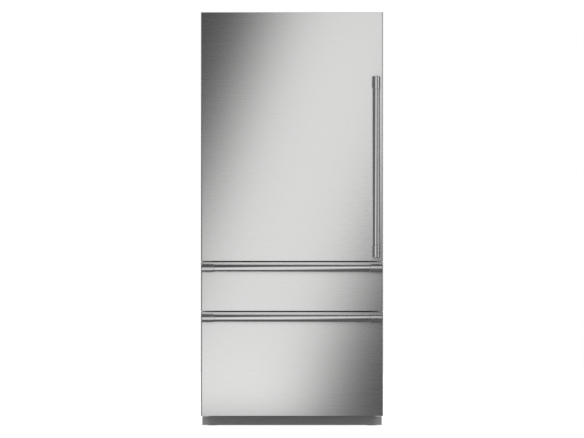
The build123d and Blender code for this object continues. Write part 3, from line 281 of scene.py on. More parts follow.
def makeMouldSkin():  # fine pebbled skin with slow waves under it
    group, ins, outs = newGroup("mouldSkin", ("Pebbles", "Waves"))
    pebbles = noiseNode(group, ins.outputs["Place"], ins.outputs["Pebbles"], 2)
    waves = noiseNode(group, ins.outputs["Place"], ins.outputs["Waves"], 3)
    group.links.new(blendNode(group, pebbles, waves, mould["pebbles"]), outs.inputs["Tone"])
    lowWaves = mathNode(group, "MULTIPLY", waves, mould["waveHeight"])
    group.links.new(mathNode(group, "ADD", pebbles, lowWaves), outs.inputs["Height"])
    return group


def makeFoamCells():  # rigid foam: round cells, clouded in tone
    group, ins, outs = newGroup("foamCells", ("Cells",))
    cells = group.nodes.new("ShaderNodeTexVoronoi")
    group.links.new(ins.outputs["Place"], cells.inputs["Vector"])
    group.links.new(ins.outputs["Cells"], cells.inputs["Scale"])
    cloud = noiseNode(group, ins.outputs["Place"], foam["clouds"], 4)
    group.links.new(blendNode(group, cells.outputs["Distance"], cloud, foam["cells"]), outs.inputs["Tone"])
    group.links.new(cells.outputs["Distance"], outs.inputs["Height"])
    return group


def makeSpangle():  # zinc crystals: flat patches of slightly different tone
    group, ins, outs = newGroup("spangle", ("Crystals",))
    crystals = group.nodes.new("ShaderNodeTexVoronoi")
    group.links.new(ins.outputs["Place"], crystals.inputs["Vector"])
    group.links.new(ins.outputs["Crystals"], crystals.inputs["Scale"])
    split = group.nodes.new("ShaderNodeSeparateColor")
    group.links.new(crystals.outputs["Color"], split.inputs[0])
    cloud = noiseNode(group, ins.outputs["Place"], spangle["clouds"], 3)
    group.links.new(blendNode(group, split.outputs[0], cloud, spangle["crystals"]), outs.inputs["Tone"])
    group.links.new(cloud, outs.inputs["Height"])
    return group


patterns = {"brush": makeBrushLines(), "mould": makeMouldSkin(), "foam": makeFoamCells(),
            "spangle": makeSpangle()}

# colour is linear; roughness runs between its two values with the pattern; bump is in metres; vary is the
# share by which the tone goes up and down; alpha runs from face on to edge on; glow is a light's strength
finishes = {
    "fronts": {"color": (0.68, 0.68, 0.675), "metal": 1.0, "rough": (0.245, 0.285), "pattern": "brush",
               "scale": {"Along": 3.0, "Across": 1500.0, "Broad": 0.45}, "bump": 0.00001, "vary": 0.05,
               "anisotropy": 0.45},
    "handles": {"color": (0.60, 0.60, 0.60), "metal": 1.0, "rough": (0.13, 0.18), "pattern": "brush",
                "scale": {"Along": 6.0, "Across": 1800.0, "Broad": 0.3}, "bump": 0.00002, "vary": 0.06,
                "anisotropy": 0.3},
    "uprightHandle": {"color": (0.60, 0.60, 0.60), "metal": 1.0, "rough": (0.13, 0.18), "pattern": "brush",
                      "scale": {"Along": 6.0, "Across": 1800.0, "Broad": 0.3}, "bump": 0.00002,
                      "vary": 0.06, "anisotropy": 0.3, "turn": (0, math.pi / 2, 0)},
    "handle_ends": {"color": (0.60, 0.60, 0.60), "metal": 1.0, "rough": (0.23, 0.30), "pattern": "mould",
                    "scale": {"Pebbles": 1600.0, "Waves": 20.0}, "bump": 0.00001, "vary": 0.05},
    "case_paint": {"color": (0.36, 0.37, 0.38), "metal": 0.0, "rough": (0.38, 0.5), "pattern": "mould",
                   "scale": {"Pebbles": 900.0, "Waves": 5.0}, "bump": 0.00004, "vary": 0.06, "coat": 0.15},
    "zinc": {"color": (0.56, 0.57, 0.58), "metal": 1.0, "rough": (0.36, 0.55), "pattern": "spangle",
             "scale": {"Crystals": 120.0}, "bump": 0.00003, "vary": 0.16},
    "front_bodies": {"color": (0.30, 0.305, 0.31), "metal": 0.0, "rough": (0.36, 0.48), "pattern": "mould",
                     "scale": {"Pebbles": 900.0, "Waves": 5.0}, "bump": 0.00004, "vary": 0.05, "coat": 0.15},
    "foam": {"color": (0.80, 0.72, 0.50), "metal": 0.0, "rough": (0.8, 0.95), "pattern": "foam",
             "scale": {"Cells": 280.0}, "bump": 0.0006, "vary": 0.14},
    "liner": {"color": (0.83, 0.84, 0.845), "metal": 0.0, "rough": (0.24, 0.36), "pattern": "mould",
              "scale": {"Pebbles": 500.0, "Waves": 4.0}, "bump": 0.00005, "vary": 0.03},
    "clear_bins": {"color": (0.86, 0.90, 0.93), "metal": 0.0, "rough": (0.06, 0.14), "pattern": "mould",
                   "scale": {"Pebbles": 300.0, "Waves": 12.0}, "bump": 0.00002, "vary": 0.03,
                   "alpha": (0.12, 0.62)},
    "frostedBins": {"color": (0.84, 0.87, 0.89), "metal": 0.0, "rough": (0.30, 0.42), "pattern": "mould",
                    "scale": {"Pebbles": 500.0, "Waves": 8.0}, "bump": 0.00004, "vary": 0.03,
                    "alpha": (0.55, 0.92)},
    "shelf_glass": {"color": (0.80, 0.92, 0.88), "metal": 0.0, "rough": (0.02, 0.05), "pattern": "mould",
                    "scale": {"Pebbles": 30.0, "Waves": 3.0}, "bump": 0.0, "vary": 0.02,
                    "alpha": (0.18, 0.8)},
    "diffuser": {"color": (0.92, 0.93, 0.92), "metal": 0.0, "rough": (0.45, 0.6), "pattern": "mould",
                 "scale": {"Pebbles": 900.0, "Waves": 15.0}, "bump": 0.00003, "vary": 0.02, "glow": 1.2},
    "seal": {"color": (0.10, 0.10, 0.105), "metal": 0.0, "rough": (0.55, 0.75), "pattern": "mould",
             "scale": {"Pebbles": 700.0, "Waves": 25.0}, "bump": 0.00004, "vary": 0.12},
    "base_plate": {"color": (0.335, 0.335, 0.337), "metal": 0.0, "rough": (0.40, 0.55), "pattern": "mould",
                   "scale": {"Pebbles": 1100.0, "Waves": 6.0}, "bump": 0.00006, "vary": 0.10},
    "black_steel": {"color": (0.018, 0.018, 0.02), "metal": 0.0, "rough": (0.16, 0.34), "pattern": "mould",
                    "scale": {"Pebbles": 350.0, "Waves": 18.0}, "bump": 0.00008, "vary": 0.2,
                    "coat": 0.4},
    "coils": {"color": (0.70, 0.71, 0.72), "metal": 1.0, "rough": (0.30, 0.46), "pattern": "brush",
              "scale": {"Along": 40.0, "Across": 400.0, "Broad": 0.5}, "bump": 0.00003, "vary": 0.10},
    "dark_plastic": {"color": (0.035, 0.035, 0.04), "metal": 0.0, "rough": (0.40, 0.58),
                     "pattern": "mould", "scale": {"Pebbles": 800.0, "Waves": 10.0}, "bump": 0.00005,
                     "vary": 0.15},
    "bush": {"color": (0.80, 0.79, 0.74), "metal": 0.0, "rough": (0.35, 0.5), "pattern": "mould",
             "scale": {"Pebbles": 900.0, "Waves": 30.0}, "bump": 0.00002, "vary": 0.05},
    "copper": {"color": (0.80, 0.42, 0.26), "metal": 1.0, "rough": (0.25, 0.45), "pattern": "mould",
               "scale": {"Pebbles": 200.0, "Waves": 12.0}, "bump": 0.00003, "vary": 0.22},
    "displayGlass": {"color": (0.012, 0.013, 0.015), "metal": 0.0, "rough": (0.06, 0.12), "pattern": "mould",
                     "scale": {"Pebbles": 900.0, "Waves": 20.0}, "bump": 0.0, "vary": 0.15},
    "litNumbers": {"color": (0.75, 0.90, 1.0), "metal": 0.0, "rough": (0.4, 0.5), "pattern": "mould",
                   "scale": {"Pebbles": 900.0, "Waves": 20.0}, "bump": 0.0, "vary": 0.03, "glow": 2.0},
    "softGrey": {"color": (0.42, 0.43, 0.44), "metal": 0.0, "rough": (0.4, 0.55), "pattern": "mould",
                 "scale": {"Pebbles": 1200.0, "Waves": 30.0}, "bump": 0.00001, "vary": 0.05},
    "screwSteel": {"color": (0.50, 0.50, 0.49), "metal": 1.0, "rough": (0.25, 0.4), "pattern": "brush",
                   "scale": {"Along": 300.0, "Across": 1500.0, "Broad": 0.3}, "bump": 0.00001,
                   "vary": 0.08},
}


shared = {"coatRough": 0.25, "toneLow": 0.3, "toneHigh": 0.7, "grainTurn": 0.25, "edgeOn": 0.35}


def makeFinish(name, look):
    material = bpy.data.materials.new(name)
    material.use_nodes = True
    tree = material.node_tree
    shader = tree.nodes["Principled BSDF"]
    shader.inputs["Metallic"].default_value = look["metal"]
    shader.inputs["Coat Weight"].default_value = look.get("coat", 0.0)
    shader.inputs["Coat Roughness"].default_value = shared["coatRough"]
    place = tree.nodes.new("ShaderNodeTexCoord").outputs["Object"]
    if "turn" in look:
        mapping = tree.nodes.new("ShaderNodeMapping")
        mapping.inputs["Rotation"].default_value = look["turn"]
        tree.links.new(place, mapping.inputs["Vector"])
        place = mapping.outputs[0]
    group = tree.nodes.new("ShaderNodeGroup")
    group.node_tree = patterns[look["pattern"]]
    tree.links.new(place, group.inputs["Place"])
    for label, value in look["scale"].items():
        group.inputs[label].default_value = value
    tones = tree.nodes.new("ShaderNodeMix")
    tones.data_type = "RGBA"
    for socket, share in ((tones.inputs[6], 1 - look["vary"]), (tones.inputs[7], 1 + look["vary"])):
        socket.default_value = (*[min(1.0, c * share) for c in look["color"]], 1)
    tree.links.new(group.outputs["Tone"], tones.inputs[0])
    tree.links.new(tones.outputs[2], shader.inputs["Base Color"])
    rough = tree.nodes.new("ShaderNodeMapRange")
    rough.inputs["From Min"].default_value = shared["toneLow"]
    rough.inputs["From Max"].default_value = shared["toneHigh"]
    rough.inputs["To Min"].default_value, rough.inputs["To Max"].default_value = look["rough"]
    tree.links.new(group.outputs["Tone"], rough.inputs["Value"])
    tree.links.new(rough.outputs[0], shader.inputs["Roughness"])
    if look["bump"]:
        bump = tree.nodes.new("ShaderNodeBump")
        bump.inputs["Strength"].default_value = 1.0
        bump.inputs["Distance"].default_value = look["bump"]
        tree.links.new(group.outputs["Height"], bump.inputs["Height"])
        tree.links.new(bump.outputs[0], shader.inputs["Normal"])
    if "anisotropy" in look:
        shader.inputs["Anisotropic"].default_value = look["anisotropy"]
        shader.inputs["Anisotropic Rotation"].default_value = shared["grainTurn"]
        tangent = tree.nodes.new("ShaderNodeTangent")
        tangent.direction_type = "RADIAL"
        tangent.axis = "Z"
        tree.links.new(tangent.outputs[0], shader.inputs["Tangent"])
    if "alpha" in look:
        facing = tree.nodes.new("ShaderNodeLayerWeight")
        facing.inputs["Blend"].default_value = shared["edgeOn"]
        alpha = tree.nodes.new("ShaderNodeMapRange")
        alpha.inputs["To Min"].default_value, alpha.inputs["To Max"].default_value = look["alpha"]
        tree.links.new(facing.outputs["Facing"], alpha.inputs["Value"])
        tree.links.new(alpha.outputs[0], shader.inputs["Alpha"])
    if "glow" in look:
        tree.links.new(tones.outputs[2], shader.inputs["Emission Color"])
        shader.inputs["Emission Strength"].default_value = look["glow"]
    return material


materials = {name: makeFinish(name, look) for name, look in finishes.items()}
finishOfNode = {"door_handle_bar": "uprightHandle", "upper_drawer_bin": "frostedBins",
                "lower_drawer_bin": "frostedBins", "freezer_basket": "frostedBins"}
for name, node in nodes.items():
    node.data.materials.clear()
    node.data.materials.append(materials[finishOfNode.get(name, slotOfNode[name])])
print("finishes made:", len(materials))


def settle(piece, body, slot, finish=None):  # the last step of every new piece
    selectOnly(piece)
    bpy.ops.object.transform_apply(location=True, rotation=True, scale=True)
    piece.data.materials.clear()
    piece.data.materials.append(materials[finish or slot])
    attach(piece, body)
    return piece


# screws: flat heads with a cross recess, placed by the middle of their underside
footScrew = {"radius": 0.0045, "height": 0.0022, "slot": 0.0008, "depth": 0.0010}
sheetScrew = {"radius": 0.0042, "height": 0.0001, "slot": 0.0011, "depth": 0.0002}
smallScrew = {"radius": 0.0035, "height": 0.0014, "slot": 0.0007, "depth": 0.0007}
screwHead = {"sides": 20, "rim": 0.35, "cross": 0.62}  # rim in heights, arm of the cross in radii


def addScrews(name, screw, places, axis, outwards, body):
    index = "XYZ".index(axis)
    first = Vector(places[0])
    top = first.copy()
    top[index] += outwards * screw["height"]
    head = addRod(name, (first + top) / 2, screw["radius"], screw["height"], axis, screwHead["sides"],
                  screw["height"] * screwHead["rim"])
    for turned in range(3):  # the cross is cut by two bars
        if turned == index:
            continue
        reach = Vector([screw["slot"] / 2] * 3)
        reach[turned] = screw["radius"] * screwHead["cross"]
        reach[index] = screw["depth"]
        cutAway(head, addBlock("crossBar", top - reach, top + reach))
    piece = repeatPiece(head, [Vector(place) - first for place in places[1:]], name)
    return settle(smooth(piece), body, "zinc", "screwSteel")


hingeScrews = {"plate": (0.013, 0.057), "flange": (0.009, 0.026), "flangeFace": 0.003, "flangeRise": 0.009}
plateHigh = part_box("top_hinge")[1]
platePlaces = [(plateHigh.x - inX, plateHigh.y - inY, plateHigh.z)
               for inX in hingeScrews["plate"] for inY in hingeScrews["plate"]]
addScrews("top_hinge_screws", footScrew, platePlaces, "Z", 1, "cabinet")
flangeLow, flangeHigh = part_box("bottom_hinge")
flangePlaces = [(flangeHigh.x - inX, flangeHigh.y - hingeScrews["flangeFace"],
                 flangeLow.z + hingeScrews["flangeRise"]) for inX in hingeScrews["flange"]]
addScrews("bottom_hinge_screws", footScrew, flangePlaces, "Y", -1, "cabinet")

backScrews = {"inset": 0.011, "upright": 7, "across": 4}
backLow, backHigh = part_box("back_panel")
backPlaces = []
for k in range(backScrews["upright"]):
    share = k / (backScrews["upright"] - 1)
    z = backLow.z + backScrews["inset"] + share * (backHigh.z - backLow.z - 2 * backScrews["inset"])
    for x in (backLow.x + backScrews["inset"], backHigh.x - backScrews["inset"]):
        backPlaces.append((x, backHigh.y, z))
for k in range(1, backScrews["across"]):
    x = backLow.x + k / backScrews["across"] * (backHigh.x - backLow.x)
    backPlaces.append((x, backHigh.y, backHigh.z - backScrews["inset"]))
addScrews("back_panel_screws", sheetScrew, backPlaces, "Y", 1, "cabinet")

coverScrews = {"side": 0.011, "edge": 0.012, "evaporator": 0.014}
bayLow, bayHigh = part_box("machine_cover")
bayPlaces = [(x, bayHigh.y, z)
             for x in (bayLow.x + coverScrews["side"], 0.0, bayHigh.x - coverScrews["side"])
             for z in (bayLow.z + coverScrews["edge"], bayHigh.z - coverScrews["edge"])]
addScrews("machine_cover_screws", sheetScrew, bayPlaces, "Y", 1, "cabinet")
coldLow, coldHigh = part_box("evaporator_cover")
coldPlaces = [(x, coldLow.y, z)
              for x in (coldLow.x + coverScrews["evaporator"], coldHigh.x - coverScrews["evaporator"])
              for z in (coldLow.z + coverScrews["evaporator"], coldHigh.z - coverScrews["evaporator"])]
addScrews("evaporator_cover_screws", smallScrew, coldPlaces, "Y", -1, "cabinet")
print("screws made")


# set screws of the handles: a hexagon socket in each sleeve, "middle" from the sleeve's end
setScrew = {"radius": 0.0028, "length": 0.0012, "proud": 0.0003, "socket": 0.0015, "depth": 0.0007,
            "middle": 0.031, "rim": 0.0002, "sides": 24}


def addSetScrews(name, posts, body):
    low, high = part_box(posts)
    upright = high.z - low.z > high.x - low.x
    along, inwards = (2, 0) if upright else (0, 2)  # axes of the handle and of its screws
    place = Vector((low.x, low.y + (high[inwards] - low[inwards]) / 2, low.z))
    place[along] += setScrew["middle"]
    apart = Vector()
    apart[along] = high[along] - low[along] - 2 * setScrew["middle"]
    proud = Vector()
    proud[inwards] = setScrew["proud"]
    sunk = Vector()
    sunk[inwards] = setScrew["length"] / 2
    head = addRod(name, place - proud + sunk, setScrew["radius"], setScrew["length"], "XYZ"[inwards],
                  setScrew["sides"], setScrew["rim"])
    cutAway(head, addRod("hexagonSocket", place - proud, setScrew["socket"], setScrew["depth"] * 2,
                         "XYZ"[inwards], 6))
    return settle(smooth(repeatPiece(head, [apart], name)), body, "handle_ends", "screwSteel")


addSetScrews("door_handle_set_screws", "door_handle_posts", "door")
addSetScrews("upper_handle_set_screws", "upper_handle_posts", "upper_drawer")
addSetScrews("lower_handle_set_screws", "lower_handle_posts", "lower_drawer")

# case sheet in the corners between the square openings and the rounded linings
cornerPlate = {"radius": 0.02205, "sheet": 0.0011, "sides": 64, "cut": 0.01}
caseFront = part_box("outer_case")[0].y
plates = []
for liner in ("fridge_liner", "middle_liner", "freezer_liner"):
    low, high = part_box(liner)
    for x, inX in ((low.x, 1), (high.x, -1)):
        for z, inZ in ((low.z, 1), (high.z, -1)):
            centre = Vector((x + inX * cornerPlate["radius"], caseFront + cornerPlate["sheet"] / 2,
                             z + inZ * cornerPlate["radius"]))
            reach = Vector((cornerPlate["radius"], cornerPlate["sheet"], cornerPlate["radius"])) / 2
            middle = centre - Vector((inX * reach.x, 0, inZ * reach.z))
            plate = addBlock("cornerPlate", middle - reach, middle + reach)
            rounding = addRod("rounding", centre, cornerPlate["radius"], cornerPlate["cut"], "Y",
                              cornerPlate["sides"])
            plates.append(cutAway(plate, rounding))
settle(joinPieces(plates, "opening_corners"), "cabinet", "case_paint")

# trims along the fronts of the shelves
shelfTrim = {"height": 0.0085, "drop": 0.008, "proud": 0.0009, "depth": 0.003, "inset": 0.005,
             "edge": 0.0008, "frame": 0.016, "frames": 3}
frameLow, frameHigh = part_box("shelf_frames")
lowestTop = frameLow.z + shelfTrim["frame"]
shelfPitch = (frameHigh.z - lowestTop) / (shelfTrim["frames"] - 1)
shelfTops = [lowestTop + k * shelfPitch for k in range(shelfTrim["frames"])]
shelfTops.append(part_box("crisper_cover")[1].z)
trimZ = lowestTop - shelfTrim["drop"]
trimY = frameLow.y - shelfTrim["proud"]
low = (frameLow.x + shelfTrim["inset"], trimY, trimZ - shelfTrim["height"] / 2)
high = (frameHigh.x - shelfTrim["inset"], trimY + shelfTrim["depth"], trimZ + shelfTrim["height"] / 2)
trim = addBlock("shelf_trims", low, high, shelfTrim["edge"], 3)
trim = repeatPiece(trim, [(0, 0, top - lowestTop) for top in shelfTops[1:]], "shelf_trims")
settle(smooth(trim), "cabinet", "handles")

# door bins: a trim along each front, which leans as the bin does
bins = {"height": 0.108, "lean": 0.012, "count": 4}
binTrim = {"height": 0.009, "rise": 0.096, "proud": 0.0008, "depth": 0.0024, "end": 0.020, "edge": 0.0007}
binLow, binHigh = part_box("door_bins")
binPitch = (binHigh.z - binLow.z - bins["height"]) / (bins["count"] - 1)
trimZ = binLow.z + binTrim["rise"]
trimY = binHigh.y - bins["lean"] * (1 - binTrim["rise"] / bins["height"]) + binTrim["proud"]
low = (binLow.x + binTrim["end"], trimY - binTrim["depth"], trimZ - binTrim["height"] / 2)
high = (binHigh.x - binTrim["end"], trimY, trimZ + binTrim["height"] / 2)
trim = addBlock("bin_trims", low, high, binTrim["edge"], 3, -math.atan(bins["lean"] / bins["height"]))
trim = repeatPiece(trim, [(0, 0, k * binPitch) for k in range(1, bins["count"])], "bin_trims")
settle(smooth(trim), "door", "handles")

# crispers: a humidity slide on each front; the heights of knob and ribs are shares of the plate's height,
# and the knob stands to the left of the middle by a share of the plate's width
slide = {"width": 0.096, "height": 0.015, "drop": 0.036, "sheet": 0.0014, "sunk": 0.0002, "edge": 0.0006,
         "pull": 0.005}
groove = {"end": 0.010, "depth": 0.0009, "height": 0.0012}
knob = {"width": 0.013, "grip": 0.0032, "height": 0.64, "left": 0.2, "sunk": 0.0004, "edge": 0.0009}
rib = {"width": 0.0008, "depth": 0.0006, "height": 0.44, "pitch": 0.003, "proud": 0.0001, "edge": 0.0002}
dash = {"count": 5, "pitch": 0.016, "width": 0.001, "depth": 0.0003, "height": 0.0012, "grow": 0.0006,
        "rise": 0.0022}
crisperLow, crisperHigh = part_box("right_crisper")
crisperX = (crisperLow.x + crisperHigh.x) / 2
bothCrispers = [(2 * crisperX, 0, 0)]  # the left one's slide is copied to the right one
slideMiddle = Vector((-crisperX, crisperLow.y + slide["pull"] - slide["sheet"] / 2 + slide["sunk"],
                      crisperHigh.z - slide["drop"]))
face = slideMiddle - Vector((0, slide["sheet"] / 2, 0))
plate = addPlate("crisper_slide_plates", slideMiddle, (slide["width"], slide["sheet"], slide["height"]),
                 slide["edge"])
cutAway(plate, addPlate("groove", face, (slide["width"] - 2 * groove["end"], 2 * groove["depth"],
                                         2 * groove["height"])))
settle(smooth(repeatPiece(plate, bothCrispers, "crisper_slide_plates")), "cabinet", "liner")
knobMiddle = face + Vector((-slide["width"] * knob["left"], knob["sunk"] - knob["grip"] / 2, 0))
grips = [addPlate("knob", knobMiddle, (knob["width"], knob["grip"], slide["height"] * knob["height"]),
                  knob["edge"], 3)]
ribSize = (rib["width"], rib["depth"], slide["height"] * rib["height"])
for k in (-1, 0, 1):
    ribMiddle = knobMiddle + Vector((k * rib["pitch"], -knob["grip"] / 2 - rib["proud"], 0))
    grips.append(addPlate("knobRib", ribMiddle, ribSize, rib["edge"]))
grips = repeatPiece(joinPieces(grips, "crisper_slide_knobs"), bothCrispers, "crisper_slide_knobs")
settle(smooth(grips), "cabinet", "handles")
dashes = []
for k in range(dash["count"]):  # they grow to one side
    x = (k - dash["count"] // 2) * dash["pitch"]
    dashMiddle = face + Vector((x, 0, dash["rise"] - slide["height"] / 2))
    dashSize = (dash["width"], dash["depth"], dash["height"] + k * dash["grow"])
    dashes.append(addPlate("dash", dashMiddle, dashSize))
dashes = repeatPiece(joinPieces(dashes, "crisper_slide_marks"), bothCrispers, "crisper_slide_marks")
settle(dashes, "cabinet", "dark_plastic")
print("shelf, bin and crisper trims made")

# bellows folds round the seals, outside and inside the seal's neck
fold = {"radius": 0.00102, "inset": 0.0034, "width": 0.020, "rise": 0.0031, "bend": 0.004}
for name, seal, body in (("door_seal_folds", "door_seal", "door"),
                         ("upper_seal_folds", "upper_drawer_seal", "upper_drawer"),
                         ("lower_seal_folds", "lower_drawer_seal", "lower_drawer")):
    low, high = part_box(seal)
    y = low.y + fold["rise"]
    rings = []
    for inset in (fold["inset"], fold["width"] - fold["inset"]):
        x0, x1, z0, z1 = low.x + inset, high.x - inset, low.z + inset, high.z - inset
        corners = [(x0, y, z0), (x0, y, z1), (x1, y, z1), (x1, y, z0)]
        rings.append(addLoop(name, corners, fold["radius"], fold["bend"]))
    settle(joinPieces(rings, name), body, "seal")

# rolled rims of the drawer bins and the basket
rim = {"radius": 0.0022, "wall": 0.0025, "drop": 0.0012, "binBend": 0.003, "basketBend": 0.012}
for name, tub, body, bend in (("upper_bin_rim", "upper_drawer_bin", "upper_drawer", rim["binBend"]),
                              ("lower_bin_rim", "lower_drawer_bin", "lower_drawer", rim["binBend"]),
                              ("basket_rim", "freezer_basket", "freezer_basket", rim["basketBend"])):
    low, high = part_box(tub)
    inset = rim["wall"] / 2
    x0, x1, y0, y1 = low.x + inset, high.x - inset, low.y + inset, high.y - inset
    z = high.z - rim["drop"]
    corners = [(x0, y0, z), (x0, y1, z), (x1, y1, z), (x1, y0, z)]
    settle(addLoop(name, corners, rim["radius"], bend), body, "clear_bins")

# controls: a dark display with two numbers, and touch keys, on the sloping face
slope = {"depth": 0.024, "drop": 0.011, "front": 0.007}
display = {"width": 0.074, "height": 0.014, "sheet": 0.0008, "edge": 0.0003}
digits = {"size": 0.0085, "sheet": 0.00008, "fridge": "3", "freezer": "-18", "place": 0.018}
touchKey = {"radius": 0.0042, "sides": 28, "eachSide": 3, "first": 0.058, "pitch": 0.022, "ring": 0.0011,
            "dish": 0.00025, "top": 1e-5}  # least area of the top, in square metres
panelLow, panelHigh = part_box("control_panel")
slopeTurn = math.pi - math.atan2(slope["drop"], slope["depth"])
slopeMiddle = Vector((0, panelLow.y + slope["depth"] / 2, panelHigh.z - slope["front"] - slope["drop"] / 2))


def onSlope(piece, slot, finish):  # from the flat, where it is modelled, to the controls' face
    piece.rotation_euler = (slopeTurn, 0, 0)
    piece.location = slopeMiddle
    return settle(piece, "cabinet", slot, finish)


def addNumber(text, x):
    deselectAll()
    bpy.ops.object.text_add(location=(x, 0, display["sheet"] / 2))
    number = bpy.context.object
    number.data.body = text
    number.data.size = digits["size"]
    number.data.extrude = digits["sheet"]
    number.data.align_x = "CENTER"
    number.data.align_y = "CENTER"
    bpy.ops.object.convert(target="MESH")
    bpy.ops.object.transform_apply(location=True, rotation=True, scale=True)
    return bpy.context.object


glass = addPlate("control_display", Vector(), (display["width"], display["height"], display["sheet"]),
                 display["edge"])
onSlope(glass, "dark_plastic", "displayGlass")
numbers = [addNumber(digits["fridge"], -digits["place"]), addNumber(digits["freezer"], digits["place"])]
onSlope(joinPieces(numbers, "control_digits"), "diffuser", "litNumbers")
keyPlaces = [side * (touchKey["first"] + k * touchKey["pitch"])
             for side in (-1, 1) for k in range(touchKey["eachSide"])]
key = addRod("control_keys", (keyPlaces[0], 0, 0), touchKey["radius"], display["sheet"], "Z",
             touchKey["sides"], display["edge"])
editOnly(key, "FACE", lambda face: face.normal.z > squareOn and face.calc_area() > touchKey["top"])
bpy.ops.mesh.inset(thickness=touchKey["ring"], depth=-touchKey["dish"])
endEdit()
keys = repeatPiece(key, [(x - keyPlaces[0], 0, 0) for x in keyPlaces[1:]], "control_keys")
onSlope(smooth(keys), "dark_plastic", "softGrey")
print("seals, rims and controls made")

# refrigerant pipes in the machine bay
bay = {"roof": 0.3, "wall": 0.108}
stub = {"middle": 0.088, "reach": 0.038, "sunk": 0.002}  # the compressor's two stubs, from its left side
hot = {"radius": 0.0032, "bend": 0.018, "underRoof": 0.014, "x": -0.03, "y": 0.03, "sunk": 0.01}
liquid = {"radius": 0.0026, "bend": 0.014, "z": 0.085, "sunk": 0.012, "end": 0.135}
drier = {"x": 0.050, "radius": 0.0105, "length": 0.080, "z": 0.175, "neck": 0.0075, "stretch": 1.16,
         "sides": 28}
capillary = {"radius": 0.0014, "bend": 0.014, "z": 0.215, "underRoof": 0.024}
suction = {"radius": 0.0075, "bend": 0.012, "underRoof": 0.020, "jog": 0.03}

pumpLow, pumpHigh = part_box("compressor")
pumpX, pumpY = pumpLow.x + stub["middle"], (pumpLow.y + pumpHigh.y) / 2
stubTop = pumpHigh.z - stub["sunk"]
coilLow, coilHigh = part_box("condenser")
hotX, hotY, hotZ = pumpX + stub["reach"], coilLow.y + hot["y"], bay["roof"] - hot["underRoof"]
hotPipe = addPipe("hotPipe", [(hotX, pumpY, stubTop), (hotX, pumpY, hotZ), (hotX, hotY, hotZ),
                              (hot["x"], hotY, hotZ), (hot["x"], hotY, coilHigh.z - hot["sunk"])],
                  hot["radius"], hot["bend"])
drierX = coilHigh.x + drier["x"]
liquidPipe = addPipe("liquidPipe", [(coilHigh.x - liquid["sunk"], pumpY, liquid["z"]),
                                    (drierX, pumpY, liquid["z"]), (drierX, pumpY, liquid["end"])],
                     liquid["radius"], liquid["bend"])
thinZ = bay["roof"] - capillary["underRoof"]
thinPipe = addPipe("thinPipe", [(drierX, pumpY, capillary["z"]), (drierX, pumpY, thinZ),
                                (drierX, bay["wall"], thinZ)], capillary["radius"], capillary["bend"])
can = addRod("drierCan", (drierX, pumpY, drier["z"]), drier["radius"], drier["length"], "Z", drier["sides"])
editOnly(can, "FACE", lambda face: abs(face.normal.z) > squareOn)  # both ends are drawn out to necks
bpy.ops.mesh.inset(thickness=drier["neck"])
bpy.ops.transform.resize(value=(1, 1, drier["stretch"]), center_override=(drierX, pumpY, drier["z"]))
endEdit()
smooth(can)
settle(joinPieces([hotPipe, liquidPipe, thinPipe, can], "refrigerant_pipes"), "cabinet", "coils", "copper")
coldX, coldZ = pumpX - stub["reach"], bay["roof"] - suction["underRoof"]
sleeve = addPipe("suction_pipe_sleeve", [(coldX, pumpY, stubTop), (coldX, pumpY, coldZ),
                                         (coldX - suction["jog"], pumpY - suction["jog"], coldZ),
                                         (coldX - suction["jog"], bay["wall"], coldZ)],
                 suction["radius"], suction["bend"])
settle(sleeve, "cabinet", "seal")

# sheet lining of the machine bay's wall and roof, with ribs pressed into the wall
lining = {"sheet": 0.0009, "gap": 0.001, "side": 0.0012}
linedRib = {"radius": 0.002, "count": 5, "length": 1.6, "edge": 0.0004, "sides": 16}  # length in half widths
baySide = bayHigh.x - lining["side"]
wallFace = bay["wall"] + lining["sheet"]
wall = addBlock("bay_lining", (-baySide, bay["wall"], bayLow.z + lining["gap"]),
                (baySide, wallFace, bay["roof"]))
roof = addBlock("bayRoof", (-baySide, bay["wall"], bay["roof"] - lining["sheet"]),
                (baySide, backLow.y, bay["roof"]))
ribPitch = (bay["roof"] - bayLow.z) / linedRib["count"]
firstRib = addRod("rib", (0, wallFace, bayLow.z + ribPitch / 2), linedRib["radius"],
                  linedRib["length"] * baySide, "X", linedRib["sides"], linedRib["edge"])
ribs = repeatPiece(firstRib, [(0, 0, k * ribPitch) for k in range(1, linedRib["count"])], "ribs")
settle(smooth(joinPieces([wall, roof, ribs], "bay_lining")), "cabinet", "zinc")
print("pipes and bay lining made")

# floor
floorLook = {"size": 40.0, "color": (0.80, 0.80, 0.80), "clouds": 1.5, "darker": 0.98, "lift": 0.60,
             "rough": 0.6, "gloss": 0.1}
deselectAll()
bpy.ops.mesh.primitive_plane_add(size=floorLook["size"], location=(0, 0, 0))
floor = startPiece("studioFloor")
floorMaterial = bpy.data.materials.new("paleFloor")
floorMaterial.use_nodes = True
floorTree = floorMaterial.node_tree
floorShader = floorTree.nodes["Principled BSDF"]
floorShader.inputs["Roughness"].default_value = floorLook["rough"]
floorShader.inputs["Specular IOR Level"].default_value = floorLook["gloss"]
floorTone = floorTree.nodes.new("ShaderNodeMix")
floorTone.data_type = "RGBA"
floorTone.inputs[6].default_value = (*[c * floorLook["darker"] for c in floorLook["color"]], 1)
floorTone.inputs[7].default_value = (*floorLook["color"], 1)
floorPlace = floorTree.nodes.new("ShaderNodeTexCoord").outputs["Object"]
floorTree.links.new(noiseNode(floorTree, floorPlace, floorLook["clouds"], 3), floorTone.inputs[0])
floorTree.links.new(floorTone.outputs[2], floorShader.inputs["Base Color"])
rays = floorTree.nodes.new("ShaderNodeLightPath")
seen = mathNode(floorTree, "MAXIMUM", rays.outputs["Is Camera Ray"], rays.outputs["Is Glossy Ray"])
seen = mathNode(floorTree, "MAXIMUM", seen, rays.outputs["Is Transmission Ray"])
floorShader.inputs["Emission Color"].default_value = (1, 1, 1, 1)
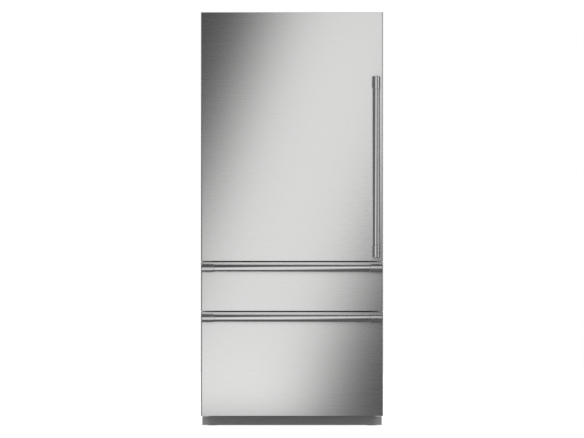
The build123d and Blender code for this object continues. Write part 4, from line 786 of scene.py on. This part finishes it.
floorTree.links.new(mathNode(floorTree, "MULTIPLY", seen, floorLook["lift"]),
                    floorShader.inputs["Emission Strength"])
floor.data.materials.append(floorMaterial)

# light tent, seen only in reflections: a slanting bright band before the fronts, a bright strip for the
# upright handle, dim wings beside them, and dark sides and top
tent = {"side": 2.6, "front": -1.5, "back": 3.0, "top": 3.6, "bottom": 0.002, "frontDepth": 0.8,
        "skip": 0.01}
band = {"middle": 1.03, "slant": 0.37, "core": 0.21, "edge": 0.76, "level": 1.07, "base": 0.03,
        "lift": 1.3, "liftHigh": 0.4}
strip = {"middle": 2.4, "core": 0.3, "edge": 0.6, "level": 1.65, "low": 0.5, "lowFull": 0.85}
wings = {"from": 1.0, "to": 1.5, "level": 0.34}
ends = {"highFull": 2.25, "high": 2.8, "level": 0.07, "sides": 0.09}
tentBox = addBlock("lightTent", (-tent["side"], tent["front"], tent["bottom"]),
                   (tent["side"], tent["back"], tent["top"]))
editOnly(tentBox, "FACE", lambda face: face.normal.y > squareOn)  # the tent is open behind
bpy.ops.mesh.delete(type="FACE")
endEdit()
tentMaterial = bpy.data.materials.new("tentCloth")
tentMaterial.use_nodes = True
tentTree = tentMaterial.node_tree
tentTree.nodes.clear()
tentPlace = tentTree.nodes.new("ShaderNodeSeparateXYZ")
tentTree.links.new(tentTree.nodes.new("ShaderNodeTexCoord").outputs["Object"], tentPlace.inputs[0])
lean = mathNode(tentTree, "MULTIPLY", mathNode(tentTree, "SUBTRACT", tentPlace.outputs["Z"], band["middle"]),
                band["slant"])
offBand = mathNode(tentTree, "ABSOLUTE", mathNode(tentTree, "SUBTRACT", tentPlace.outputs["X"], lean))
bandLight = rampNode(tentTree, offBand, band["core"], band["edge"], band["level"], band["base"])
offMiddle = mathNode(tentTree, "ABSOLUTE", tentPlace.outputs["X"])
wingLight = rampNode(tentTree, offMiddle, wings["from"], wings["to"], 0.0, wings["level"])
offStrip = mathNode(tentTree, "ABSOLUTE",
                    mathNode(tentTree, "SUBTRACT", tentPlace.outputs["X"], strip["middle"]))
stripLight = mathNode(tentTree, "MULTIPLY",
                      rampNode(tentTree, offStrip, strip["core"], strip["edge"], strip["level"], 0.0),
                      rampNode(tentTree, tentPlace.outputs["Z"], strip["low"], strip["lowFull"], 0.0, 1.0))
brightest = mathNode(tentTree, "MAXIMUM", mathNode(tentTree, "MAXIMUM", bandLight, wingLight), stripLight)
highEnd = rampNode(tentTree, tentPlace.outputs["Z"], ends["highFull"], ends["high"], 1.0, 0.0)
onFront = rampNode(tentTree, tentPlace.outputs["Y"], tent["front"] + tent["skip"],
                   tent["front"] + tent["frontDepth"], 1.0, 0.0)
lowLift = rampNode(tentTree, tentPlace.outputs["Z"], 0.0, band["liftHigh"], band["lift"], 1.0)
shaped = mathNode(tentTree, "MULTIPLY", mathNode(tentTree, "MULTIPLY", brightest, onFront),
                  mathNode(tentTree, "MULTIPLY", lowLift, highEnd))
sidesOnly = mathNode(tentTree, "MULTIPLY", mathNode(tentTree, "SUBTRACT", 1.0, onFront), ends["sides"])
total = mathNode(tentTree, "ADD", mathNode(tentTree, "MAXIMUM", shaped, ends["level"]), sidesOnly)
tentGlow = tentTree.nodes.new("ShaderNodeEmission")
tentTree.links.new(total, tentGlow.inputs["Strength"])
tentOut = tentTree.nodes.new("ShaderNodeOutputMaterial")
tentTree.links.new(tentGlow.outputs[0], tentOut.inputs["Surface"])
tentBox.data.materials.append(tentMaterial)
tentBox.visible_camera = False
tentBox.visible_diffuse = False
tentBox.visible_shadow = False
tentBox.visible_transmission = False
tentBox.visible_volume_scatter = False

# lamps and world
lampAim = Vector((0, 0, 1.0))
lamps = {
    "leftSoftbox": {"place": (-2.6, -3.2, 3.0), "power": 55.0, "size": 2.2},
    "rightSoftbox": {"place": (2.6, -3.2, 2.4), "power": 45.0, "size": 2.2},
    "backSoftbox": {"place": (0.8, 3.0, 3.2), "power": 30.0, "size": 2.0},
}
for name, lamp in lamps.items():
    data = bpy.data.lights.new(name, "AREA")
    data.energy = lamp["power"]
    data.size = lamp["size"]
    light = bpy.data.objects.new(name, data)
    bpy.context.scene.collection.objects.link(light)
    light.location = lamp["place"]
    light.rotation_euler = (lampAim - light.location).to_track_quat("-Z", "Y").to_euler()
    light.visible_camera = False
    light.visible_glossy = False
    light.visible_transmission = False

roomLight = {"seen": 1.0, "diffuse": 0.62}
world = bpy.data.worlds.new("paleRoom")
bpy.context.scene.world = world
world.use_nodes = True
worldTree = world.node_tree
background = worldTree.nodes["Background"]
background.inputs["Color"].default_value = (1, 1, 1, 1)
worldRays = worldTree.nodes.new("ShaderNodeLightPath")
worldSeen = mathNode(worldTree, "MAXIMUM", worldRays.outputs["Is Camera Ray"],
                     worldRays.outputs["Is Glossy Ray"])
worldSeen = mathNode(worldTree, "MAXIMUM", worldSeen, worldRays.outputs["Is Transmission Ray"])
worldTree.links.new(rampNode(worldTree, worldSeen, 0.0, 1.0, roomLight["diffuse"], roomLight["seen"]),
                    background.inputs["Strength"])
bpy.context.scene.view_settings.view_transform = "Standard"

# camera: straight at the fronts, from far away
camera = {"distance": 60.0, "height": 1.0304, "frameWidth": 2.9118, "sensor": 36.0, "clipEnd": 200.0}
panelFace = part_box("door_panel")[0].y
cameraData = bpy.data.cameras.new("photoCamera")
cameraData.sensor_width = camera["sensor"]
cameraData.sensor_fit = "HORIZONTAL"
cameraData.lens = camera["sensor"] * camera["distance"] / camera["frameWidth"]
cameraData.clip_end = camera["clipEnd"]
cameraObject = bpy.data.objects.new("photoCamera", cameraData)
bpy.context.scene.collection.objects.link(cameraObject)
cameraObject.location = (0, panelFace - camera["distance"], camera["height"])
cameraObject.rotation_euler = (math.pi / 2, 0, 0)
bpy.context.scene.camera = cameraObject
print("stage, lamps and camera set")
